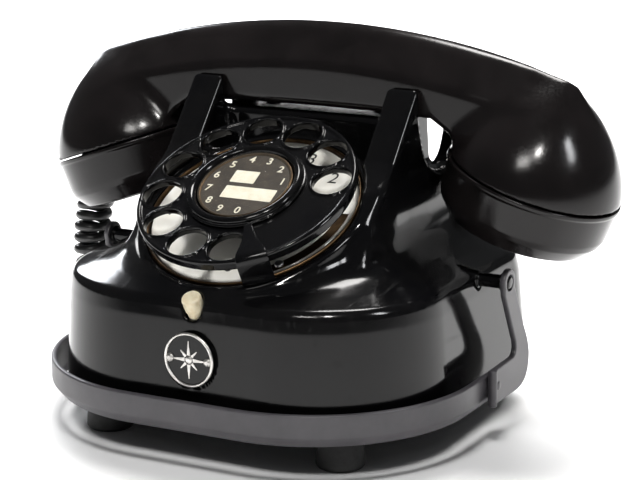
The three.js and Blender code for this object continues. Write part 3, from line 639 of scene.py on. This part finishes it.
def tube(name, line, radius, sides=10):
    _, across, over = frames_along(line)
    angles = np.linspace(0, 2 * math.pi, sides, endpoint=False)
    loops = [p + radius * (np.cos(angles)[:, None] * a + np.sin(angles)[:, None] * o)
             for p, a, o in zip(line, across, over)]
    return loft(name, loops, sharp=70)


cord_line = curly_line()
cord = tube("curly_cord", cord_line, CORD_WIRE / 2)
cord.data.materials.append(CORD)
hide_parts("handset_cord")
# the stretch behind the case stays where it lies
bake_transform(cord)

# ---------------------------------------------------------------- case

def soften(values, width):
    kernel = np.hanning(width + 2)[1:-1]
    return np.convolve(np.pad(values, width // 2, mode="edge"), kernel / kernel.sum(), "valid")


def skin_table():
    """The skin's levels at fine steps of height: crisp at the knee, softer on the shoulder above it."""
    height = np.arange(8, 92, 0.25)
    above_knee = np.clip((height - 53) / 4, 0, 1)
    columns = []
    for values in SKIN.T[1:]:
        exact = np.interp(height, SKIN[:, 0], values)
        columns.append(soften(exact, 7) * (1 - above_knee) + soften(exact, 25) * above_knee)
    return height, columns


SKIN_HEIGHT, SKIN_COLUMNS = skin_table()


def footprint(x, y, z):
    """Distance to the skin's outline at its own level, in the level's plane."""
    half, front, rear, front_corner, rear_corner = (np.interp(z, SKIN_HEIGHT, c) for c in SKIN_COLUMNS)
    middle, deep = (front + rear) / 2, (rear - front) / 2
    corner = np.where(y < middle, front_corner, rear_corner)
    a, b = np.abs(x) - half + corner, np.abs(y - middle) - deep + corner
    return np.hypot(np.maximum(a, 0), np.maximum(b, 0)) + np.minimum(np.maximum(a, b), 0) - corner


def dial_coordinates(x, y, z):
    dy, dz = y - DIAL_CENTRE.y, z - DIAL_CENTRE.z
    up = dy * math.cos(DIAL_TILT) + dz * math.sin(DIAL_TILT)
    out = -dy * math.sin(DIAL_TILT) + dz * math.cos(DIAL_TILT)
    return np.hypot(x, up), out


FRONT_FORK = [(-24, 62), (-19.5, 73), (-12.6, 80), (-1.6, 90), (15.4, 110.4),
              *bezier((15.4, 110.4), (16.8, 112), (17.6, 110)),
              *bezier((17.6, 110), (17.4, 101), (19.6, 95.4)), *bezier((19.6, 95.4), (23.4, 83), (33.5, 81)),
              (39.5, 81.6), (39.5, 66)]
REAR_FORK = [(38, 60), (38, 81.4), *bezier((38, 81.4), (45, 86), (47.4, 95.4)),
             *bezier((47.4, 95.4), (49, 101), (49.4, 106)), *bezier((49.4, 106), (50.6, 108), (51.8, 106)),
             *bezier((51.8, 106), (53, 90), (55.6, 74)), (56, 60)]
BRIDGE = [(18.6, 78), (18.6, 98.6), *bezier((18.6, 98.6), (18.9, 100.6), (21.2, 100.6)), (45.6, 100.6),
          *bezier((45.6, 100.6), (48.6, 100.6), (48.6, 96.6)), (50.6, 78)]


def case_field(x, y, z):
    radius, out = dial_coordinates(x, y, z)
    lean = np.interp(z, SKIN_HEIGHT, np.gradient(SKIN_COLUMNS[0], SKIN_HEIGHT))
    skin = footprint(x, y, z) / np.sqrt(1 + lean ** 2)
    body = smooth_common(skin, z - TOWER_TOP, 3)
    shell = smooth_union(body, smooth_common(radius - COLLAR_RADIUS, out - COLLAR_RIM, 1.4), 9)
    shell = smooth_union(shell, slab(outline_distance(BRIDGE, y, z), x, BRIDGE_HALF, 1.2), 3)
    forks = slab(outline_distance(FRONT_FORK, y, z), np.abs(x) - FORK_MID, FORK_HALF, 1.7)
    rear = slab(outline_distance(REAR_FORK, y, z), np.abs(x) - REAR_FORK_MID, REAR_FORK_HALF, 1.1)
    shell = smooth_union(shell, np.minimum(forks, rear), 6)
    shell = smooth_common(shell, footprint(x, y, np.minimum(z, KNEE_TOP)), 0.5)
    shell = smooth_common(shell, SKIRT_FOOT - z, 0.8)

    hollow = np.maximum(skin + WALL, z - TOWER_TOP + WALL + 1.4)
    hollow = np.maximum(hollow, -np.maximum(radius - COLLAR_RADIUS - 3, WELL_FLOOR - WALL - out))
    shell = cut_out(shell, hollow, 0.5)
    shell = cut_out(shell, np.maximum(radius - WHEEL_CLEARANCE, COLLAR_RIM - out), 0.5)
    shell = cut_out(shell, np.maximum(radius - WELL_RADIUS, WELL_FLOOR - out), 0.6)
    shell = cut_out(shell, np.maximum(radius - THROAT_RADIUS, WELL_FLOOR - 20 - out), 0.4)

    # openings: push button, plungers, handle pivots, cord entries, flat under the badge
    dy, dz = y - BUTTON_TOP.y, z - BUTTON_TOP.z
    along = -dy * math.sin(BUTTON_LEAN) + dz * math.cos(BUTTON_LEAN)
    off = np.hypot(x, dy * math.cos(BUTTON_LEAN) + dz * math.sin(BUTTON_LEAN))
    shell = cut_out(shell, np.maximum(off - 3.65, -11.5 - along), 0.5)
    shell = cut_out(shell, np.maximum(np.hypot(np.abs(x) - 21, y - SADDLE_Y) - 3.5, 90 - z), 0.4)
    shell = cut_out(shell, np.maximum(np.hypot(y - PIVOT_Y, z - PIVOT_Z) - 3.3, 55 - np.abs(x)), 0.4)
    for entry in (CORD_ENTRY_X, LINE_ENTRY_X):
        shell = cut_out(shell, np.maximum(np.hypot(x - entry, z - ENTRY_Z) - 6.2, 50 - y), 0.4)
    flat = np.maximum(np.hypot(x, z - BADGE_Z) - BADGE_RADIUS - 0.5, y - BADGE_FACE)
    return cut_out(shell, flat, 0.3)


dress(surface("case", case_field, (-69, -60.5, 15), (69, 66, 112), 0.8), ENAMEL, "body", "enamel", "housing")


def rounded_loop(z, inset, steps=20):
    """One closed level of the base, set in from the skirt's outline."""
    half, front, rear, front_corner, rear_corner = SKIN[1][1:]
    half, front, rear = half - inset, front + inset, rear - inset
    loop = []
    for x, y, corner, start in ((half, front, front_corner - inset, -90),
                                (half, rear, rear_corner - inset, 0),
                                (-half, rear, rear_corner - inset, 90),
                                (-half, front, front_corner - inset, 180)):
        cx = x - math.copysign(corner, x)
        cy = y + (corner if y == front else -corner)
        for a in np.radians(np.linspace(start, start + 90, steps + 1)):
            loop.append((cx + corner * math.cos(a), cy + corner * math.sin(a), z))
    return loop


dress(loft("base_tray", [rounded_loop(z, i) for z, i in
                         eased([(11.6, 5), (14.6, 4.4), (14.7, 2.3), (11.4, 2.3), (9.6, 4)], 0.6,
                               closed=False)]),
      ENAMEL, "body", "enamel", "base_pan")

# ---------------------------------------------------------------- feet and small fittings

for place_name in ("front_left", "front_right", "rear_left", "rear_right"):
    low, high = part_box(f"foot_{place_name}")
    centre = (Vector(low) + Vector(high)) / 2 / MM
    foot = turned(f"rubber_foot_{place_name}", [(0, 2), (3.4, 2), (3.4, 0), (7.2, 0), (8, 1), (7.3, 9.3),
                                                (0, 9.3)],
                  Matrix.Translation((centre.x, centre.y, 0)), ease=0.6)
    dress(foot, RUBBER, "body", "rubber", f"foot_{place_name}")

# ---------------------------------------------------------------- carrying handle

STRAP_HALF, STRAP_FRONT, STRAP_CORNER, STRAP_REAR = 75.5, -67, 56, 9
STRAP_TOP, STRAP_FOOT, STRAP_THICK = 22.6, 11.6, 1.8


def strap():
    section = eased([(0, STRAP_FOOT + 3.2, 0.6), (0, STRAP_TOP, 0.9), (STRAP_THICK, STRAP_TOP, 0.6),
                     (STRAP_THICK + 0.4, STRAP_FOOT + 2.4, 0.6), (3.4, STRAP_FOOT + 0.7, 0.3),
                     (2.6, STRAP_FOOT, 0.3)], 0.5)
    line = [(STRAP_HALF, STRAP_REAR, 1, 0)]
    corner_y = STRAP_FRONT + STRAP_CORNER
    for a in np.radians(np.linspace(0, 90, 33)):
        line.append((STRAP_HALF - STRAP_CORNER + STRAP_CORNER * math.cos(a),
                     corner_y - STRAP_CORNER * math.sin(a), math.cos(a), -math.sin(a)))
    line += [(-x, y, -nx, ny) for x, y, nx, ny in reversed(line)]
    loops = [[(x - nx * depth, y - ny * depth, z) for depth, z in section] for x, y, nx, ny in line]
    return loft("handle_band", loops, sharp=50)


dress(strap(), SATIN, "carrying_handle", "satin", "handle_strap")

ARM_OUTLINE = [(0, 12.4), (21, 12.4), *bezier((21, 12.4), (30.6, 13), (30.6, 22.6)),
               *bezier((30.6, 22.6), (30.2, 27), (26, 33)), (17.4, 49),
               *[(PIVOT_Y + EYE_RADIUS * math.cos(a), PIVOT_Z + EYE_RADIUS * math.sin(a))
                 for a in np.linspace(-0.25, 2.89, 16)],
               (9.4, 47), (18.6, 29.6), *bezier((18.6, 29.6), (20, 25.4), (16.4, 24.8)), (0, 24.4)]


def arm_field(x, y, z):
    middle = ARM_NEAR + ARM_THICK / 2
    plate = slab(outline_distance(ARM_OUTLINE, y, z), x - middle, ARM_THICK / 2, 0.6)
    roll = slab(np.hypot(x - middle - 0.9, y - 0.5) - 1.3, z - 18.5, 6.2, 0.4)
    return cut_out(smooth_union(plate, roll, 0.5), np.hypot(y - PIVOT_Y, z - PIVOT_Z) - 2.6, 0.2)


for side, name in ((-1, "left"), (1, "right")):
    mirror = Matrix.Diagonal((side, 1, 1, 1))
    arm = surface(f"handle_side_{name}", lambda x, y, z, s=side: arm_field(s * x, y, z),
                  (min(side * 75.9, side * 79.7), -1.2, 12.2), (max(side * 75.9, side * 79.7), 30.7, 55.7),
                  0.42)
    dress(arm, SATIN, "carrying_handle", "satin", f"handle_arm_{name}")
    outwards = pointing((0, PIVOT_Y, PIVOT_Z), (side, 0, 0))
    screw = turned(f"pivot_pin_{name}", [(0, 58), (3, 58), (3, 66.9), (2.3, 67.3), (2.3, 74.9), (3.1, 75),
                                         (3.1, 75.6), (2.3, 75.7), (2.3, 77.6), (1.6, 78.1), (0, 78.2)],
                   outwards, 48)
    dress(screw, ENAMEL, "body", "enamel", f"handle_pivot_{name}")
    low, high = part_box(f"handle_rivet_{name}")
    centre = (Vector(low) + Vector(high)) / 2 / MM
    rivet = turned(f"band_rivet_{name}", [(0, 73), (1, 73), (1, 77.9), (1.6, 77.9), (1.3, 78.2), (0.6, 78.35),
                                          (0, 78.4)], pointing((0, centre.y, centre.z), (side, 0, 0)), 32)
    dress(rivet, SATIN, "carrying_handle", "satin", f"handle_rivet_{name}")

# ---------------------------------------------------------------- badge and push button

FORWARD = pointing((0, BADGE_FACE, BADGE_Z), (0, -1, 0))
disc = turned("badge_disc", [(0, 0.3), (8.8, 0.3), (9, 0.7), (9, 1.6), (8.2, 1.6), (8, 1.2), (0, 1.2)],
              FORWARD, 72, 0.2)
dress(disc, ENAMEL, "body", "enamel", "badge")
rim = turned("badge_ring", [(8, 1.1), (9.02, 1.1), (9.02, 1.55), (8.7, 1.8), (8.2, 1.8), (8, 1.5)], FORWARD,
             72, 0.15)
dress(rim, SILVER, "body", "silver")


def badge_motif():
    """A plain compass star of eight thin rays round a small boss."""
    points, faces = [], []
    for k in range(8):
        a = math.radians(45 * k)
        reach, wide = (6.2, 0.62) if k % 2 == 0 else (4.2, 0.5)
        along, across = np.array((math.cos(a), math.sin(a))), np.array((-math.sin(a), math.cos(a)))
        start = len(points)
        for r, w in ((1.5, wide), (reach, 0.12)):
            for sign in (-1, 1):
                flat = along * r + across * w * sign
                points += [(*flat, 1.1), (*flat, 1.45)]
        s = start
        faces += [(s, s + 1, s + 3, s + 2), (s + 4, s + 6, s + 7, s + 5), (s, s + 4, s + 5, s + 1),
                  (s + 2, s + 3, s + 7, s + 6), (s + 1, s + 5, s + 7, s + 3), (s, s + 2, s + 6, s + 4)]
    star = make("badge_star", place(points, FORWARD), faces, sharp=20)
    outward(star)
    return star


dress(badge_motif(), SILVER, "body", "silver")
dress(turned("badge_boss", [(0, 1.1), (1.3, 1.1), (1.2, 1.5), (0.5, 1.7), (0, 1.7)], FORWARD, 32, 0.1),
      SILVER, "body", "silver")
for side, name in ((-1, "left"), (1, "right")):
    rivet = turned(f"badge_pin_{name}", [(0, -5), (0.8, -5), (0.8, 1.1), (1.5, 1.1), (1.4, 1.7), (0.7, 2.1),
                                         (0, 2.1)],
                   FORWARD @ Matrix.Translation((side * 6.9, 0, 0)), 24, 0.15)
    dress(rivet, SILVER, "body", "silver", f"badge_rivet_{name}")

button = turned("button_cap", [(0, -15.8), (3.8, -15.8), (3.8, -14.6), (2.9, -14.6), (2.9, -5.6), (3.2, -5),
                               (3.2, -0.7), (2.8, -0.1), (1.2, 0.2), (0, 0.3)], BUTTON, 48, 0.5)
dress(button, IVORY, "front_button", "ivory", "push_button")

# ---------------------------------------------------------------- dial

WHEEL_PROFILE = eased([(17.6, -2.2), (34.8, -2.2), (35.2, -2.9), (37, -2.7), (37, 0.1), (36.5, 0.65),
                       (35.7, 0.6), (35.2, 0), (17.6, 0)], 0.3)


def wheel_field(u, v, w):
    disc = outline_distance(WHEEL_PROFILE, np.hypot(u, v), w)
    angle = np.mod(np.arctan2(v, u) - FIRST_HOLE + HOLE_PITCH, 2 * math.pi) - HOLE_PITCH
    nearest = np.clip(np.round(angle / HOLE_PITCH), 0, 9) * HOLE_PITCH + FIRST_HOLE
    hole = np.hypot(u - HOLE_CIRCLE * np.cos(nearest), v - HOLE_CIRCLE * np.sin(nearest))
    rims = np.hypot(hole - HOLE_RADIUS - 0.55, w) - 0.5
    return cut_out(smooth_union(disc, rims, 0.25), hole - HOLE_RADIUS, 0.4)


dress(surface("dial_wheel_disc", wheel_field, (-37.1, -37.1, -3), (37.1, 37.1, 0.7), 0.36, DIAL),
      ENAMEL, "dial_wheel", "enamel", "finger_wheel")
dress(turned("dial_hub_ring", [(0, -3), (17.3, -3), (17.3, 0.3), (20.2, 0.3), (20.2, 0.9), (19.6, 1.0),
                               (19.3, 2.2), (18.2, 2.9), (17.1, 2.5), (16.4, 1.4), (16.2, 0.4), (0, 0.4)],
             DIAL, 120, 0.5, 5),
      ENAMEL, "dial_wheel", "enamel", "dial_hub")
dress(turned("centre_card", [(0, 0.7), (15.9, 0.7), (15.9, 1.2), (0, 1.2)], DIAL, 96, 0.1),
      CARD, "dial_wheel", "card", "number_card")
dress(turned("card_edge_ring", [(14.9, 1.15), (16, 1.15), (16, 1.5), (15.4, 1.6), (14.9, 1.35)], DIAL, 96,
             0.1),
      BRONZE_AND_SHADE, "dial_wheel", "brass")
dress(turned("card_glazing", [(0, 1.62), (15.9, 1.62), (15.9, 1.9), (8, 2.1), (0, 2.15)], DIAL, 96, 0.05),
      CLEAR, "dial_wheel", "clear", "card_window")
dress(turned("plate_of_numbers", [(5, -10.4), (33.6, -10.4), (34, -12.6), (35.2, -12.6), (34.8, -9.5),
                                  (34.2, -9),
                                  (5, -9)], DIAL, 120, 0.4), WHITE, "body", "white", "number_plate")
dress(turned("dial_ring", [(35.5, -12.6), (36.5, -12.6), (36.5, -9), (36, -8.6), (35.5, -9)], DIAL, 120, 0.3),
      BRONZE_AND_SHADE, "body", "brass", "dial_rim")


def painted_shade_sector():
    """A dark strip of painted shade at the plate's edge, from the finger stop round to the first hole, where
    the wheel shades the white plate.
    """
    angles = np.radians(np.linspace(302, 364, 63))
    section = [(31, -9.05), (34.2, -9.05), (34.2, -8.9), (31, -8.9)]
    loops = [[(r * math.cos(a), r * math.sin(a), w) for r, w in section] for a in angles]
    return loft("plate_painted_shade_sector", loops, DIAL)


# painted shade: a dark sheet laid on the white plate where the wheel casts its shadow
dress(painted_shade_sector(), BRONZE_AND_SHADE, "body", "brass")


def digit(name, character, radius, angle, size, weight, height, material, body, slot):
    """One raised digit, upright on the dial, centred on a point of the dial plane."""
    data = bpy.data.curves.new(name, "FONT")
    data.body = character
    data.size = size
    data.align_x = "CENTER"
    data.align_y = "CENTER"
    data.extrude = 0.04
    data.offset = weight
    data.resolution_u = 3
    holder = bpy.data.objects.new(name + "_text", data)
    bpy.context.scene.collection.objects.link(holder)
    bpy.context.view_layer.update()
    flat = bpy.data.meshes.new_from_object(holder.evaluated_get(bpy.context.evaluated_depsgraph_get()))
    bpy.data.objects.remove(holder)
    where = DIAL @ Matrix.Translation((radius * math.cos(angle), radius * math.sin(angle), height))
    flat.transform(where)
    flat.transform(Matrix.Scale(MM, 4))
    obj = bpy.data.objects.new(name, flat)
    bpy.context.scene.collection.objects.link(obj)
    return dress(obj, material, body, slot)


for i in range(10):
    mark = str((i + 1) % 10)
    angle = FIRST_HOLE + i * HOLE_PITCH
    digit(f"card_digit_{mark}", mark, radius=12.7, angle=angle, size=4.3, weight=0.05, height=1.24,
          material=PAPER, body="dial_wheel", slot="ivory")
    digit(f"plate_digit_{mark}", mark, radius=28.2, angle=angle - math.radians(4), size=7.4, weight=-0.05,
          height=-8.96, material=DIGIT, body="body", slot="enamel")


def label(name, u0, u1, v0, v1):
    corners = eased([(u0, v0), (u1, v0), (u1, v1), (u0, v1)], 0.3)
    loops = [[(u, v, w) for u, v in corners] for w in (1.22, 1.3)]
    dress(loft(name, loops, DIAL), PAPER, "dial_wheel", "ivory")


label("label_upper", -6.3, 2.6, 0.8, 6.6)
label("label_lower", -6.2, 12.6, -6.9, -1.1)


def finger_stop():
    """A bent plate: narrow by the hub, flaring to the rim, rounded over the edge and down to the case."""
    bend, tip, top, foot, half_thick = 2.2, 16.6, 1.75, -8.5, 0.55
    path = [(r, top) for r in np.linspace(tip, bend, 24)]
    path += [(bend - bend * math.sin(a), top - bend + bend * math.cos(a))
             for a in np.linspace(0.2, math.pi / 2, 8)]
    path += [(0, w) for w in np.linspace(top - bend - 0.8, foot, 5)]
    path = np.array(path)
    ahead = np.gradient(path, axis=0)
    ahead /= np.linalg.norm(ahead, axis=1)[:, None]
    loops = []
    for (r, w), (along_r, along_w) in zip(path, ahead):
        half = np.interp(r, (0, 1.2, 3, 6, 9.2, 13, 15.6, 16.6), (5.2, 5.1, 4.7, 3.5, 2.4, 1.7, 1.4, 0.9))
        corners = eased([(-half, -half_thick), (half, -half_thick), (half, half_thick), (-half, half_thick)],
                        0.35, 3)
        loops.append([(s, r + along_w * t, w - along_r * t) for s, t in corners])
    turn = DIAL @ Matrix.Rotation(STOP_ANGLE + math.pi / 2, 4, "Z") @ Matrix.Translation((0, -38.1, 0))
    return loft("finger_hook", loops, turn, sharp=50)


dress(finger_stop(), ENAMEL, "body", "enamel", "finger_stop")
stop_screw_at = DIAL @ Matrix.Rotation(STOP_ANGLE + 0.21, 4, "Z") @ Matrix.Translation((32.4, 0, 0))
dress(turned("stop_screw", [(0, -8.9), (1.5, -8.9), (1.6, -8.4), (1.3, -7.9), (0.5, -7.7), (0, -7.7)],
             stop_screw_at, 24, 0.2), STEEL, "body", "steel", "finger_stop_screw")

# ---------------------------------------------------------------- handset

def grip_field(x, y, z):
    reach = np.abs(x)
    top = np.minimum(130 - 15.5 * (reach / HANDSET_HALF) ** 2, 114.5 - 1.3 * (reach - HANDSET_HALF))
    foot = np.interp(reach, (0, 24, 46, 58, 76, 92.4, 100), (102.6, 102.4, 101.4, 93.5, 87, 87, 92))
    wide = np.interp(reach, (0, 46, 60, 76, 92.4, 98.6), (14.4, 14.5, 14.6, 13.8, 10.8, 7.6))
    off = np.abs(y - HANDSET_Y)
    bevel = (off - 0.98 * wide) * 0.72 + (z - top + 12.5) * 0.69
    crown = (off - 0.2 * wide) * 0.38 + (z - top) * 0.92
    body = smooth_common(smooth_common(off - wide, bevel, 1.6), smooth_common(crown, (z - top) * 0.96, 2), 2)
    body = smooth_common(body, foot - z, 3)
    return smooth_common(body, reach - 98.6, 2)


def cup_coordinates(x, y, z):
    dx, dz = np.abs(x) - CUP_X, z - CUP_Z
    along = dx * math.sin(CUP_LEAN) + dz * math.cos(CUP_LEAN)
    across = dx * math.cos(CUP_LEAN) - dz * math.sin(CUP_LEAN)
    return np.hypot(across, y - HANDSET_Y), along


def dome(radius, along, wide, tall, power):
    ring = (radius / wide) ** power + (np.maximum(along, 0) / tall) ** power
    return (ring ** (1 / power) - 1) * wide * 0.8


def handset_field(x, y, z):
    radius, along = cup_coordinates(x, y, z)
    cup = smooth_common(dome(radius, along, CUP_RADIUS, DOME_HEIGHT, 1.55), -along, 0.7)
    shell = smooth_union(grip_field(x, y, z), cup, 4)
    shell = smooth_common(shell, np.where(np.abs(x) > 50, -along, -9), 0.7)
    hollow = np.maximum(dome(radius, along, 26, 22, 1.6), -2 - along)
    return cut_out(shell, hollow, 0.4)


dress(surface("handset_body", handset_field, (-108, 1.5, 71), (108, 63.5, 131), 0.8),
      BAKELITE, "handset", "bakelite", "handset_shell")

for side, name in ((-1, "mouthpiece"), (1, "earpiece")):
    cap = turned(f"{name}_cover", [(0, -18), (10, -18.2), (22.5, -19.6), (24.3, -18.9), (28.1, -14.2),
                                   (28.8, -12.0), (29.5, -2.2), (30, -1.6), (29.95, -0.3), (27, -0.3),
                                   (26.1, -11.5), (23, -16), (0, -15.6)], cup_matrix(side), 128, 0.5)
    dress(cap, BAKELITE, "handset", "bakelite", f"{name}_cap")

# ---------------------------------------------------------------- cord fittings

grommet = turned("cord_sleeve_handset", [(0, 0), (4, 0), (4, 8), (4.7, 8.3), (4.7, 9.4), (4, 9.7), (4, 10.6),
                                         (4.5, 10.9), (4.5, 12), (3.7, 12.3), (3.7, 13.1), (4.1, 13.4),
                                         (3.9, 14.9),
                                         (0, 15)], pointing(GROMMET_START, GROMMET_WAY), 40, 0.3)
dress(grommet, RUBBER, "handset", "rubber", "handset_grommet")
rear_wall = pointing((CORD_ENTRY_X, REAR_FACE, ENTRY_Z), (0, 1, 0))
dress(turned("cord_sleeve_case", [(0, -6), (5.9, -6), (5.9, 1), (8.8, 1), (8.4, 2), (0, 2.1)], rear_wall, 48,
             0.3),
      RUBBER, "body", "rubber", "cord_gland")
rear_wall = pointing((LINE_ENTRY_X, REAR_FACE, ENTRY_Z), (0, 1, 0))
dress(turned("line_sleeve", [(2.6, -5), (5.9, -5), (5.9, 1), (7.9, 1), (7.4, 2.1), (2.6, 2.1)], rear_wall,
             48, 0.3),
      RUBBER, "body", "rubber", "line_cord_bush")

for side, name in ((-1, "left"), (1, "right")):
    pin = turned(f"cradle_pin_{name}", [(0, 86), (2, 86), (2, 92), (4.1, 92), (4.1, 93.2), (3.2, 93.2),
                                        (3.2, 100.8),
                                        (2.4, 101.7), (0, 102)],
                 Matrix.Translation((side * 21, SADDLE_Y, 0)), 40, 0.5)
    dress(pin, BAKELITE, "cradle_hook", "bakelite", f"cradle_plunger_{name}")

# ---------------------------------------------------------------- floor and light

def stage_floor():
    half = 4.0
    mesh = bpy.data.meshes.new("floor")
    mesh.from_pydata([(-half, -half, 0), (half, -half, 0), (half, half, 0), (-half, half, 0)], [],
                     [(0, 1, 2, 3)])
    floor = bpy.data.objects.new("floor", mesh)
    bpy.context.scene.collection.objects.link(floor)
    s = Shader("pale_floor", Roughness=0.6)
    s.surface.inputs["Base Color"].default_value = (0.92, 0.915, 0.91, 1)
    s.surface.inputs["Specular IOR Level"].default_value = 0.2
    mesh.materials.append(s.material)


def area_light(name, where, towards, size, power, colour=(1, 1, 1), reflected=True, diffuse=True):
    data = bpy.data.lights.new(name, "AREA")
    data.shape = "RECTANGLE"
    data.size, data.size_y = size
    data.energy = power
    data.color = colour
    lamp = bpy.data.objects.new(name, data)
    lamp.location = where
    lamp.rotation_euler = (Vector(towards) - Vector(where)).to_track_quat("-Z", "Y").to_euler()
    lamp.visible_glossy = reflected
    lamp.visible_diffuse = diffuse
    bpy.context.scene.collection.objects.link(lamp)


def lighting():
    world = bpy.data.worlds.new("studio")
    world.use_nodes = True
    world.node_tree.nodes["Background"].inputs["Color"].default_value = (0.95, 0.97, 1, 1)
    world.node_tree.nodes["Background"].inputs["Strength"].default_value = 0.09
    bpy.context.scene.world = world
    area_light("backdrop_light", (-0.35, 0.95, 1.3), (-0.3, 0.8, 0), (1.4, 1.0), 56, reflected=False)
    area_light("plate_light", (0.1, -0.3, 1.2), (0, 0, 0.08), (0.3, 0.3), 9, reflected=False)
    area_light("top_box", (-0.08, 0.52, 1.25), (0, 0, 0.08), (0.42, 0.3), 9, (1, 0.98, 0.96))
    area_light("front_spot", (0.5, -0.72, 1.0), (0, 0, 0.09), (0.07, 0.07), 6, (1, 0.98, 0.95), diffuse=False)
    area_light("front_box", (0.22, -0.95, 0.92), (0, 0, 0.09), (0.3, 0.2), 4.2, (1, 0.98, 0.95),
               diffuse=False)
    area_light("right_box", (1.0, -0.13, 0.75), (0, 0, 0.08), (0.16, 0.34), 4.5, (0.97, 0.98, 1),
               diffuse=False)
    area_light("left_box", (-1.0, 0.8, 0.6), (0, 0, 0.05), (0.25, 0.45), 5, (0.93, 0.96, 1))
    bpy.context.scene.view_settings.view_transform = "Standard"


stage_floor()
lighting()
